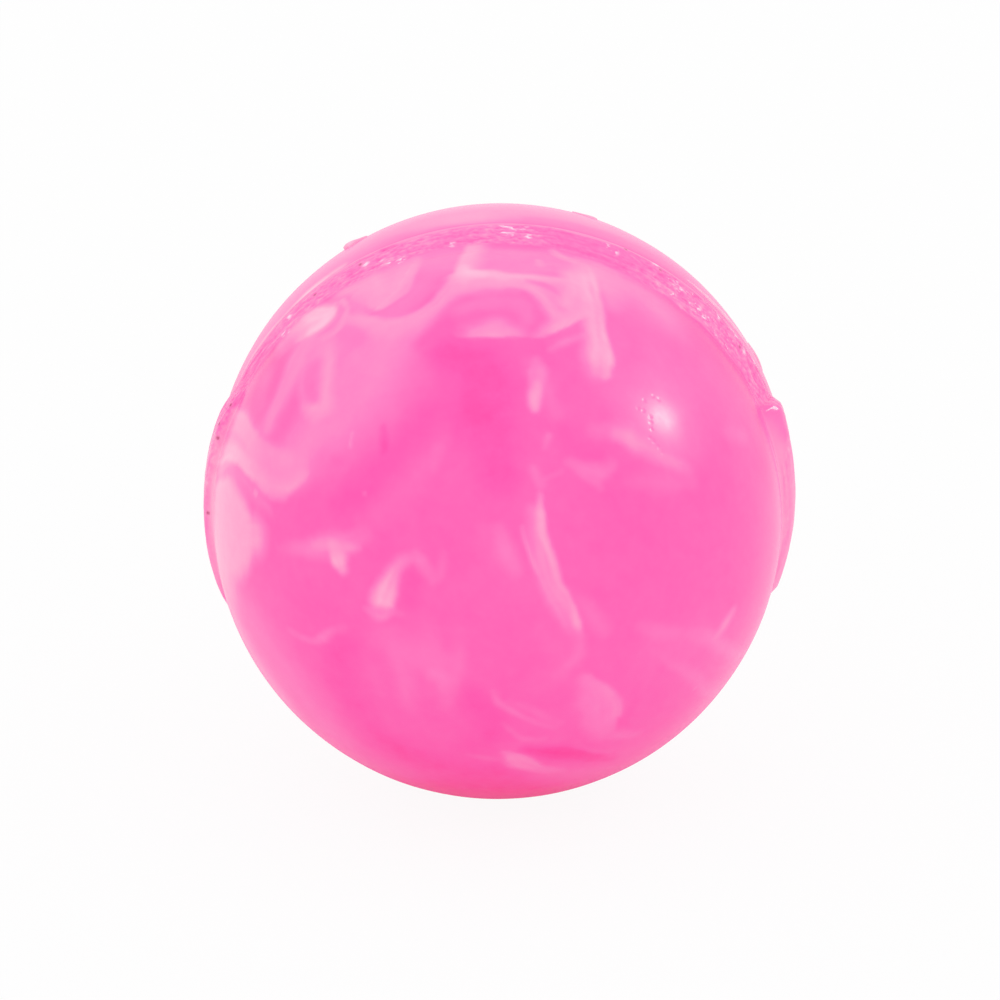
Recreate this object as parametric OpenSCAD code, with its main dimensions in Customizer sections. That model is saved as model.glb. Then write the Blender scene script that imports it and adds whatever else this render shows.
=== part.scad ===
// Marbled rubber bouncy ball, compression moulded in two half cavities
// The Y axis runs through the poles of both halves, and the front half looks along -Y.
// The origin is the middle of the rubber web that stands between the halves.

/* [Ball] */
// Diameter of the mould cavity that shapes the front half
cavity_d = 27; // [20:0.5:60]
// Amount by which the rear cavity is larger across
rear_oversize = 0.35; // [0:0.05:0.6]
// Step of the rear half to the right of the front half
mismatch_x = 0.2; // [0:0.05:0.5]
// Step of the rear half above the front half
mismatch_z = 0.4; // [0:0.05:0.5]

/* [Seam web] */
// Thickness of the web that the open mould left between the halves
web_t = 2; // [1:0.1:4]
// Height of the trimmed web edge above the front cavity's radius
web_proud = 0.25; // [0.1:0.05:0.6]
// Bevel that the trimming left along both rims of the web
web_bevel = 0.1; // [0.05:0.05:0.4]
// Number of blade nicks around the whole edge
nick_count = 48; // [12:1:72]
// Radius of the scoop that each nick takes
nick_r = 0.7; // [0.3:0.1:1.2]
// Depth of the deepest nick
nick_depth = 0.12; // [0.04:0.02:0.3]
// Angle beside each flash tab that stays free of nicks
nick_margin = 4; // [3:1:8]

/* [Flash tabs] */
// Height that the uncut flash stands above the trimmed edge
tab_h = 0.35; // [0.15:0.05:1]
// Angle around the seam at which the left tab starts, counted from the right side upwards
left_tab_start = 158; // [140:1:170]
// Angle that the left tab spans
left_tab_span = 45; // [20:1:60]
// Angle around the seam at which the right tab starts
right_tab_start = -18; // [-40:1:-10]
// Angle that the right tab spans
right_tab_span = 39; // [20:1:50]
// Angle over which the blade ran out at the sloping end of a tab
tab_long_end = 9; // [4:1:15]
// Angle over which a tab's blunt end rises
tab_blunt_end = 2; // [1:1:6]

/* [Marbling] */
// Depth of the pale streaks under the surface
streak_depth = 0.8; // [0.3:0.1:2]
// Curve points on each stretch of a streak's edge
streak_steps = 4; // [2:1:6]
// Scale of the streak widths
streak_width = 1; // [0.5:0.1:1.2]
// Turn of the front half's streaks about the upright axis
marble_turn = -2.6; // [-8:0.2:8]

/* [Trim crumbs] */
// Height of the crumbs of cut flash that stick to the rear half
crumb_h = 0.2; // [0.1:0.05:0.5]

/* [Hidden] */
$fn = 96;
front_r = cavity_d / 2;
rear_r = front_r + rear_oversize / 2;
web_r = front_r + web_proud;
tab_r = web_r + tab_h;
pink = [1, 0.40, 0.71];
rim_pink = [1, 0.47, 0.75];
pale_pink = [1, 0.72, 0.86];

// Streaks and crumbs are strokes on a map of their half, as seen with its pole facing.
// Each point is [degrees right of the pole, degrees above it, half width in degrees].
FRONT_STREAKS = [
    ["crown_arch_streak", [[-43, 69, 0.6], [-36, 66, 1.4], [-28, 64.5, 1.8], [-20, 66, 2.4],
        [-14, 73, 2.6], [-7, 82, 4.2], [2, 80.5, 2.2], [11, 79, 1.4], [20, 77, 0.8]]],
    ["crown_spot_streak", [[-5, 61.5, 0.6], [0, 64, 1.8], [5, 62, 0.6]]],
    ["right_ribbon_streak", [[25, 80, 3], [26, 72, 2.4], [26, 64, 2.2], [25.5, 57, 2.4], [25, 53, 2]]],
    ["left_tooth_streak", [[-63, 63, 1.5], [-57, 66, 4.2], [-51, 67.5, 3.6], [-46, 66.5, 1]]],
    ["left_lens_streak", [[-45, 75, 1], [-38, 76, 3.5], [-30, 76.5, 4.5], [-24, 78, 1.5]]],
    ["loop_streak", [[-44, 57, 0.5], [-48, 51, 1], [-47.5, 45, 1.2], [-43, 41, 1.5],
        [-39, 45, 1.1], [-41, 53, 0.6]]],
    ["upper_band_streak", [[-86, 30, 2.5], [-74, 33, 3], [-62, 30.5, 3], [-52, 27.5, 2.6],
        [-43, 23.5, 0.8]]],
    ["lower_band_streak", [[-88, 19, 2], [-79, 22.5, 2.2], [-70, 24.5, 2], [-60, 23, 1.8],
        [-51, 20.5, 0.8]]],
    ["left_lobe_streak", [[-88, 6, 4], [-78, 9, 7], [-68, 8, 6], [-60, 5, 1.5]]],
    ["wing_streak", [[-47, 10, 0.4], [-40, 13, 1], [-33, 13, 1.9], [-27, 15.5, 1.1], [-22, 17, 0.3]]],
    ["hook_streak", [[-11.5, 11, 0.4], [-15, 13, 1.1], [-19, 10.5, 1.7], [-21.5, 6, 2.2],
        [-22, 2, 2.2]]],
    ["comet_streak", [[10, 28, 0.6], [10.5, 22, 1.1], [13, 14, 1.2], [16, 6, 1], [19.5, -1, 0.4]]],
    ["comet_tail_streak", [[4, 20, 0.4], [7, 15.5, 0.8], [10, 9.5, 0.8], [13.5, 2.5, 0.7],
        [16.5, -5, 0.3]]],
    ["centre_blob_streak", [[10.5, 54, 0.8], [10.5, 49, 1.6], [9.5, 45, 1.8], [11, 41.5, 0.5]]],
    ["fan_streak", [[25, 38.5, 0.6], [31, 36.5, 1.6], [37, 33, 1.9], [43, 29.5, 0.7]]],
    ["small_fan_streak", [[15, 32.5, 0.5], [21, 31, 1.4], [27.5, 30.5, 0.6]]],
    ["lower_cloud_streak", [[18.5, -13.5, 0.8], [22.5, -17, 2.8], [25, -22.5, 3.2], [26, -28.5, 1.5]]],
    ["bottom_sweep_streak", [[1, -33.5, 0.6], [6.5, -36, 1.9], [13, -40, 1.9], [21, -45, 1.6],
        [29, -50.5, 0.6]]],
    ["right_wisp_streak", [[33, -8.5, 0.4], [42, -11, 0.9], [51, -14, 1.1], [60, -19, 0.5]]],
];
REAR_STREAKS = [
    ["rear_arch_streak", [[-38, 58, 0.6], [-24, 64, 1.8], [-8, 68, 2.6], [8, 66, 2.2], [22, 58, 0.8]]],
    ["rear_ribbon_streak", [[40, 52, 0.8], [46, 40, 2.2], [45, 28, 2.4], [40, 18, 0.8]]],
    ["rear_lobe_streak", [[66, 6, 1.5], [72, -6, 5], [68, -18, 4.5], [58, -26, 1]]],
    ["rear_hook_streak", [[-4, 34, 0.5], [-12, 36, 1.5], [-18, 30, 2.2], [-17, 22, 2.4]]],
    ["rear_band_streak", [[-80, 24, 2], [-68, 20, 2.8], [-56, 12, 2.6], [-46, 2, 0.8]]],
    ["rear_cloud_streak", [[8, 4, 0.8], [14, -4, 3], [16, -13, 3.2], [12, -21, 1]]],
    ["rear_sweep_streak", [[-44, -30, 0.8], [-32, -38, 2.2], [-18, -43, 2.2], [-4, -44, 0.8]]],
    ["rear_wisp_streak", [[22, -48, 0.5], [34, -50, 1.2], [46, -46, 0.5]]],
];
CRUMBS = [
    [[-41.5, 60, 0.5], [-39, 61.5, 1.2], [-34, 63, 0.5]],
    [[19, 68, 0.5], [22, 67.8, 1.2], [25.5, 67, 0.8]],
    [[69.5, 38, 0.5], [72, 34, 1.1], [74, 30, 0.5]],
];

// Direction from a half's centre to a point of its map, with the pole along -Y
function map_direction(point) =
    let (
        from_pole = norm([point.x, point.y]),
        around = atan2(point.y, point.x)
    )
    [sin(from_pole) * cos(around), -cos(from_pole), sin(from_pole) * sin(around)];

function sum_of(vectors) = [for (k = [0:2]) [for (v = vectors) 1] * [for (v = vectors) v[k]]];

// Tilt from +Z and turn about Z of the direction to the middle of a stroke
function stroke_heading(stroke) =
    let (middle = sum_of([for (point = stroke) map_direction(point)]))
    [acos(middle.z / norm(middle)), atan2(middle.y, middle.x)];

// A stroke's points on the flat face of a block that points along its heading
function stroke_on_block(stroke, r, heading) =
    let (
        tilt = heading[0],
        turn = heading[1],
        across = [cos(tilt) * cos(turn), cos(tilt) * sin(turn), -sin(tilt)],
        along = [-sin(turn), cos(turn), 0],
        mm_per_degree = r * PI / 180
    )
    [for (point = stroke)
        let (
            spot = r * map_direction(point),
            half_width = point.z * mm_per_degree * streak_width
        )
        [spot * across, spot * along, half_width]];

// Smooth curve through points, each stretch bent by the points beside it
function curve_point(before, start, end, after, t) =
    0.5 * (2 * start + (end - before) * t
        + (2 * before - 5 * start + 4 * end - after) * t * t
        + (3 * start - before - 3 * end + after) * t * t * t);
function smooth(points) =
    let (last = len(points) - 1)
    concat(
        [for (i = [0:last - 1], k = [0:streak_steps - 1])
            let (
                before = points[max(i - 1, 0)],
                after = points[min(i + 2, last)]
            )
            curve_point(before, points[i], points[i + 1], after, k / streak_steps)],
        [points[last]]
    );

// Closed outline of a ribbon that runs along a curve, at the half width of each point
function ribbon_outline(curve) =
    let (
        last = len(curve) - 1,
        sides = [for (i = [0:last])
            let (
                ahead = curve[min(i + 1, last)] - curve[max(i - 1, 0)],
                across = [-ahead.y, ahead.x] / norm([ahead.x, ahead.y])
            )
            across * curve[i].z]
    )
    concat(
        [for (i = [0:last]) [curve[i].x, curve[i].y] + sides[i]],
        [for (i = [last:-1:0]) [curve[i].x, curve[i].y] - sides[i]]
    );

function polar(r, angle) = [r * cos(angle), r * sin(angle)];

// Whether an angle lies within a span, counted on from its start
function in_span(angle, start, span) =
    let (turns = (angle - start) / 360)
    (turns - floor(turns)) * 360 < span;

// Turns a shape drawn around Z so that its axis points along Y, with the drawing's top up
module axis_along_y() {
    rotate([90, 0, 0]) children();
}

// Where the front half's centre lies, and the rear half's as its mirror image
module at_front_half() {
    translate([-mismatch_x / 2, -web_t / 2, -mismatch_z / 2]) children();
}
module at_rear_half() {
    translate([mismatch_x / 2, web_t / 2, mismatch_z / 2]) mirror([0, 1, 0]) children();
}

// Half ball with its pole along -Y and its flat face at the cavity's rim
module dome(r) {
    axis_along_y()
    rotate_extrude()
    intersection() {
        circle(r = r);
        square(r);
    }
}

// Block that stands out of a half of radius r and has a stroke's ribbon as its outline
module stroke_block(stroke, r, turn) {
    heading = stroke_heading(stroke);
    rotate([0, heading[0], heading[1] + turn])
    linear_extrude(2 * r)
    polygon(ribbon_outline(smooth(stroke_on_block(stroke, r, heading))));
}

// Part of a block that reaches from below the surface of a half to above it
module stroke_body(stroke, r, below, above, turn = 0) {
    difference() {
        intersection() {
            dome(r + above);
            stroke_block(stroke, r, turn);
        }
        sphere(r - below);
    }
}

// Dome of pink rubber with a pocket for each of its streaks
module pocketed_dome(streaks, r, turn = 0) {
    difference() {
        dome(r);
        for (streak = streaks) {
            difference() {
                stroke_block(streak[1], r, turn);
                sphere(r - streak_depth);
            }
        }
    }
}

module front_half() {
    color(pink) at_front_half() pocketed_dome(FRONT_STREAKS, front_r, marble_turn);
}

module rear_half() {
    color(pink) at_rear_half() pocketed_dome(REAR_STREAKS, rear_r);
}

module front_streak(stroke) {
    color(pale_pink) at_front_half() stroke_body(stroke, front_r, streak_depth, 0, marble_turn);
}

module rear_streak(stroke) {
    color(pale_pink) at_rear_half() stroke_body(stroke, rear_r, streak_depth, 0);
}

// Disc with both rims bevelled, its axis along Y and its middle at the origin
module bevelled_disc(r) {
    axis_along_y()
    rotate_extrude()
    polygon([
        [0, -web_t / 2],
        [r - web_bevel, -web_t / 2],
        [r, -web_t / 2 + web_bevel],
        [r, web_t / 2 - web_bevel],
        [r - web_bevel, web_t / 2],
        [0, web_t / 2],
    ]);
}

// The nicks leave out the stretches where the flash tabs still stand
module blade_nicks() {
    for (i = [0:nick_count - 1]) {
        angle = (i + 0.35 * sin(i * 137.5)) * 360 / nick_count;
        depth = nick_depth * (0.65 + 0.35 * sin(i * 222.5));
        under_tab = in_span(angle, left_tab_start - nick_margin, left_tab_span + 2 * nick_margin)
            || in_span(angle, right_tab_start - nick_margin, right_tab_span + 2 * nick_margin);
        if (!under_tab) {
            axis_along_y()
            translate(polar(web_r + nick_r - depth, angle))
            cylinder(r = nick_r, h = 2 * web_t, center = true);
        }
    }
}

module seam_web() {
    color(rim_pink)
    difference() {
        bevelled_disc(web_r);
        blade_nicks();
    }
}

// Flash left standing on the web's edge, with an end of its own length at each side
module flash_tab(start, span, start_end, far_end) {
    reach = 0.4;
    foot_1 = polar(web_r, start);
    top_1 = polar(tab_r, start + start_end);
    foot_2 = polar(web_r, start + span);
    top_2 = polar(tab_r, start + span - far_end);
    outside = 1.5 * tab_r;
    intersection() {
        bevelled_disc(tab_r);
        axis_along_y()
        linear_extrude(2 * web_t, center = true)
        difference() {
            polygon([
                [0, 0],
                foot_1 - reach * (top_1 - foot_1),
                top_1 + reach * (top_1 - foot_1),
                polar(outside, start + span / 3),
                polar(outside, start + span * 2 / 3),
                top_2 + reach * (top_2 - foot_2),
                foot_2 - reach * (top_2 - foot_2),
            ]);
            circle(r = web_r);
        }
    }
}

module left_flash_tab() {
    color(rim_pink) flash_tab(left_tab_start, left_tab_span, tab_long_end, tab_blunt_end);
}

module right_flash_tab() {
    color(rim_pink) flash_tab(right_tab_start, right_tab_span, tab_long_end, tab_blunt_end);
}

module trim_crumbs() {
    color(rim_pink)
    at_rear_half()
    for (crumb = CRUMBS) stroke_body(crumb, rear_r, 0, crumb_h);
}

front_half();
rear_half();
seam_web();
left_flash_tab();
right_flash_tab();
trim_crumbs();
for (streak = FRONT_STREAKS) front_streak(streak[1]);
for (streak = REAR_STREAKS) rear_streak(streak[1]);
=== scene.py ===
# %% [markdown]
# # A marbled rubber bouncy ball
#
# The ball is one lump of rubber, pressed in two half cavities from a pink and a pale compound. The
# mould stayed a little open, so a web of rubber stands between the halves, and a blade has trimmed
# most of it away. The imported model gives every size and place. This lesson adds what it leaves
# plain: the marbling under the skin, the torn edge of the web and the finish of the rubber.

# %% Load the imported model
import math

import bmesh
import bpy
import numpy as np
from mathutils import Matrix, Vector


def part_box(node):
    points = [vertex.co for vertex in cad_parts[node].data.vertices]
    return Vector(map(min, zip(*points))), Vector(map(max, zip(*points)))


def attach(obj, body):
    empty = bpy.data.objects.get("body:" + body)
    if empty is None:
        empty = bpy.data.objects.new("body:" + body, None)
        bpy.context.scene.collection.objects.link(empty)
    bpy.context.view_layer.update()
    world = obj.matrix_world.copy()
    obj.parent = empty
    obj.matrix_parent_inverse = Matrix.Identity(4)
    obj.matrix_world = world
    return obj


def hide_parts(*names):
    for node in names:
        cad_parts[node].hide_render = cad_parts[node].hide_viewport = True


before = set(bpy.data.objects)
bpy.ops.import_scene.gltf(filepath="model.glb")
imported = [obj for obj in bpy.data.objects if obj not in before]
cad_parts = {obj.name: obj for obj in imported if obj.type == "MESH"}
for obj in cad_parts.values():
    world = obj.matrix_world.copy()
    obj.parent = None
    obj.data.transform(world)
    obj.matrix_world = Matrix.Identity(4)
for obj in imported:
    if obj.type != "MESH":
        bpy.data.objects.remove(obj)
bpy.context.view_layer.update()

scene = bpy.context.scene


def in_scene(name, data):
    """A new object with the given data, linked to the scene."""
    made = bpy.data.objects.new(name, data)
    scene.collection.objects.link(made)
    return made


print("nodes in the frame:", len(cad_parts))

# %% [markdown]
# ## Measures
#
# A node's box tells where it lies, so no size is typed twice. The streaks fill pockets in the
# halves, and only a half and its streaks together give the full dome.

# %% Measures from the frame
MM = 0.001


def box_of(nodes):
    """Lowest and highest corner of several nodes together."""
    corners = np.array([[tuple(corner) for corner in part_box(node)] for node in nodes])
    return corners[:, 0].min(axis=0), corners[:, 1].max(axis=0)


streak_nodes = [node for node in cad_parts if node.endswith("_streak")]
REAR_NODES = ["rear_half"] + [node for node in streak_nodes if node.startswith("rear_")]
FRONT_NODES = ["front_half"] + [node for node in streak_nodes if not node.startswith("rear_")]

front_low, front_high = box_of(FRONT_NODES)
rear_low, rear_high = box_of(REAR_NODES)
web_low, web_high = box_of(["seam_web"])
front_r = (front_high[2] - front_low[2]) / 2
rear_r = (rear_high[2] - rear_low[2]) / 2
front_x, rear_x = (front_low[0] + front_high[0]) / 2, (rear_low[0] + rear_high[0]) / 2
front_centre = np.array([front_x, front_high[1], front_low[2] + front_r])
rear_centre = np.array([rear_x, rear_low[1], rear_low[2] + rear_r])
web_t = web_high[1] - web_low[1]
web_r = (web_high[0] - web_low[0]) / 2
floor_z = min(front_low[2], web_low[2], rear_low[2])
print(f"half radii {front_r / MM:.2f} and {rear_r / MM:.2f} mm, web {web_t / MM:.2f} mm thick, "
      f"web radius {web_r / MM:.2f} mm")

# %% [markdown]
# ## Camera
#
# The ball is photographed from the front and a little above, from far enough away that it shows
# almost no perspective. The scale in the picture sets the lens, and the ball's place in the
# picture sets the point that the camera aims at.

# %% Camera
PICTURE_SIDE = 1000
PIXELS_PER_MM = 21.04
BALL_PIXEL = (499.3, 502.5)
CAMERA_AZIMUTH = math.radians(-1)
CAMERA_ELEVATION = math.radians(23)
CAMERA_DISTANCE = 0.6
CAMERA_NEAR = 0.01
SENSOR = 36

view_right = Vector((math.cos(CAMERA_AZIMUTH), math.sin(CAMERA_AZIMUTH), 0))
view_back = Vector((
    math.sin(CAMERA_AZIMUTH) * math.cos(CAMERA_ELEVATION),
    -math.cos(CAMERA_AZIMUTH) * math.cos(CAMERA_ELEVATION),
    math.sin(CAMERA_ELEVATION),
))
view_up = view_back.cross(view_right)
pixel = MM / PIXELS_PER_MM
middle = PICTURE_SIDE / 2
aim = (middle - BALL_PIXEL[0]) * pixel * view_right + (BALL_PIXEL[1] - middle) * pixel * view_up

camera = in_scene("camera", bpy.data.cameras.new("camera"))
camera.data.sensor_width = SENSOR
camera.data.lens = SENSOR * CAMERA_DISTANCE / (PICTURE_SIDE * pixel)
camera.data.clip_start = CAMERA_NEAR
camera.location = aim + CAMERA_DISTANCE * view_back
camera.rotation_euler = view_back.to_track_quat("Z", "Y").to_euler()
scene.camera = camera
print(f"lens {camera.data.lens:.0f} mm")

# %% [markdown]
# ## Wiring nodes in code
#
# Node trees read best as arithmetic. A Wire is one output socket, and Python's operators on it add
# Math nodes. A Board is the tree, and its node method makes any other node from a type, its
# settings and its socket values. Both serve materials and geometry alike.

# %% Wires and boards


def find_socket(sockets, key):
    """A socket by its place in the list, its identifier or its name."""
    if isinstance(key, int):
        return sockets[key]
    for socket in sockets:
        if socket.identifier == key:
            return socket
    return sockets[key]


class Wire:
    """One output socket that Python's operators can calculate with."""

    def __init__(self, board, socket):
        self.board = board
        self.socket = socket

    def other(self, key):
        """Another output of the same node."""
        return Wire(self.board, find_socket(self.socket.node.outputs, key))

    def math(self, operation, first, second):
        return self.board.node("ShaderNodeMath", {"operation": operation}, {0: first, 1: second})

    def __add__(self, value):
        return self.math("ADD", self, value)

    def __radd__(self, value):
        return self.math("ADD", value, self)

    def __sub__(self, value):
        return self.math("SUBTRACT", self, value)

    def __rsub__(self, value):
        return self.math("SUBTRACT", value, self)

    def __mul__(self, value):
        return self.math("MULTIPLY", self, value)

    def __rtruediv__(self, value):
        return self.math("DIVIDE", value, self)


class Board:
    """A node tree that is being wired."""

    def __init__(self, tree):
        self.tree = tree

    def plug(self, value, socket):
        if isinstance(value, Wire):
            self.tree.links.new(value.socket, socket)
        else:
            socket.default_value = value

    def node(self, kind, settings=None, sockets=None, out=0):
        """Makes a node, sets its settings, then its sockets, and gives one of its outputs."""
        made = self.tree.nodes.new(kind)
        for name, value in (settings or {}).items():
            if name == "stops":
                place_stops(made.color_ramp.elements, value)
            else:
                setattr(made, name, value)
        for key, value in (sockets or {}).items():
            self.plug(value, find_socket(made.inputs, key))
        return Wire(self, find_socket(made.outputs, out))

    def vector(self, operation, first, second, out=0):
        settings = {"operation": operation}
        return self.node("ShaderNodeVectorMath", settings, {0: first, 1: second}, out)

    def scaled(self, vector, factor):
        sockets = {0: vector, "Scale": factor}
        return self.node("ShaderNodeVectorMath", {"operation": "SCALE"}, sockets)

    def ease(self, value, start, end, low, high):
        """Goes smoothly from low to high while the value goes from start to end."""
        sockets = {"Value": value, "From Min": start, "From Max": end,
                   "To Min": low, "To Max": high}
        return self.node("ShaderNodeMapRange", {"interpolation_type": "SMOOTHSTEP"}, sockets)

    def noise(self, place, size, detail=2.0, roughness=0.5, out="Fac"):
        """Cloudy noise whose patches are about the given size across."""
        sockets = {"Vector": place, "Scale": 1 / size, "Detail": detail, "Roughness": roughness}
        return self.node("ShaderNodeTexNoise", {}, sockets, out)

    def swing(self, place, size, detail=2.0, roughness=0.5):
        """The same noise about zero, so that it lowers as much as it raises."""
        return self.noise(place, size, detail, roughness) - 0.5

    def end(self, kind, surface):
        """Plugs a surface into a new output node."""
        self.plug(surface, self.tree.nodes.new(kind).inputs["Surface"])


def blank_board(owner):
    """The emptied node tree of a material or a world, ready to be wired."""
    owner.use_nodes = True
    owner.node_tree.nodes.clear()
    return Board(owner.node_tree)


def place_stops(elements, stops):
    """Sets the stops of a colour ramp from pairs of a position and a colour."""
    while len(elements) < len(stops):
        elements.new(1)
    for element, (position, colour) in zip(elements, stops):
        element.position = position
        element.color = colour


def srgb(red, green, blue):
    """The linear colour of values that are given as a picture stores them, from 0 to 255."""
    def linear(value):
        share = value / 255
        return share / 12.92 if share <= 0.04045 else ((share + 0.055) / 1.055) ** 2.4
    return linear(red), linear(green), linear(blue), 1.0


print("wires and boards ready")

# %% [markdown]
# ## Stage and light
#
# The picture is a studio shot on white, lit so evenly that the rubber shows almost no shading. A
# white world does all of that, a little brighter overhead. The floor shows white to the camera and
# keeps a part of the ball's shadow. One soft lamp at the right gives the single highlight and
# nothing else.

# %% Floor
WHITE = (1, 1, 1, 1)
FLOOR_SIDE = 6
FLOOR_WHITE = (0.95, 0.95, 0.95, 1)
FLOOR_GLOW = 0.93
MIRRORED_GLOW = 0.15

floor_mesh = bpy.data.meshes.new("floor")
half = FLOOR_SIDE / 2
corners = [(x * half, y * half, floor_z) for x, y in ((-1, -1), (1, -1), (1, 1), (-1, 1))]
floor_mesh.from_pydata(corners, [], [(0, 1, 2, 3)])
floor = in_scene("floor", floor_mesh)
floor_paint = bpy.data.materials.new("floor_white")
board = blank_board(floor_paint)
matt = board.node("ShaderNodeBsdfDiffuse", {}, {"Color": FLOOR_WHITE})
glow = board.node("ShaderNodeEmission", {}, {"Color": WHITE, "Strength": 1.0})
path = board.node("ShaderNodeLightPath", out="Is Camera Ray")
mirrored = path.math("MAXIMUM", path.other("Is Glossy Ray"), path.other("Is Transmission Ray"))
seen = path.math("MAXIMUM", path * FLOOR_GLOW, mirrored * MIRRORED_GLOW)
surface = board.node("ShaderNodeMixShader", {}, {0: seen, 1: matt, 2: glow})
board.end("ShaderNodeOutputMaterial", surface)
floor_mesh.materials.append(floor_paint)
print("floor at", round(floor_z / MM, 2), "mm")

# %% World and lamp
SKY_LEVEL = 0.8
OVERHEAD_LEVEL = 1.0
KEY_DIRECTION = Vector((0.855, 0.06, 0.515))
KEY_DISTANCE = 0.5
KEY_SIZE = 0.065
KEY_POWER = 0.42
KEY_COLOUR = (1, 0.96, 0.64)

scene.view_settings.view_transform = "Standard"
scene.world = bpy.data.worlds.new("studio")
board = blank_board(scene.world)
direction = board.node("ShaderNodeTexCoord", out="Generated")
height = board.node("ShaderNodeSeparateXYZ", {}, {0: direction}, "Z")
level = board.ease(height, 0.0, 1.0, SKY_LEVEL, OVERHEAD_LEVEL)
path = board.node("ShaderNodeLightPath", out="Is Camera Ray")
levels = {"Factor_Float": path, "A_Float": level, "B_Float": 1.0}
strength = board.node("ShaderNodeMix", {}, levels)
sky = board.node("ShaderNodeBackground", {}, {"Color": WHITE, "Strength": strength})
board.end("ShaderNodeOutputWorld", sky)

key = in_scene("key_lamp", bpy.data.lights.new("key_lamp", "AREA"))
key.data.shape = "DISK"
key.data.size = KEY_SIZE
key.data.energy = KEY_POWER
key.data.color = KEY_COLOUR
key.location = KEY_DISTANCE * KEY_DIRECTION.normalized()
key.rotation_euler = KEY_DIRECTION.to_track_quat("Z", "Y").to_euler()
key.visible_diffuse = False
print("lit by the world and one lamp")

# %% [markdown]
# ## The marbling as strokes
#
# The two compounds were folded together by hand, so no noise texture gives their bands. They are
# painted instead, as a person would with a brush: broad hazes first, then the bands, then the dark
# gaps between them. A stroke lies on a map of its half, as seen with the pole facing, and each of
# its points is (degrees right of the pole, degrees above it, half width in degrees, pressure),
# where the pressure is 1 if it is left out. A fold is crisp on one side and fades on the other, so
# a stroke can be softer on one side of its way. A tone of 0 is the deep pink and a tone of 1 the
# palest.
# A few strokes are painted light, wholly or in part: a halo round the highlight, pale reflections
# along the rims, and shade at the bottom and along parts of the outline.

# %% Strokes of the front half
# Each stroke is its tone, the softness of its edge in degrees, or of its left and right edge, and
# its points.
GROUND_TONE = 0.22
MARBLE_TURN = -2.6

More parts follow.
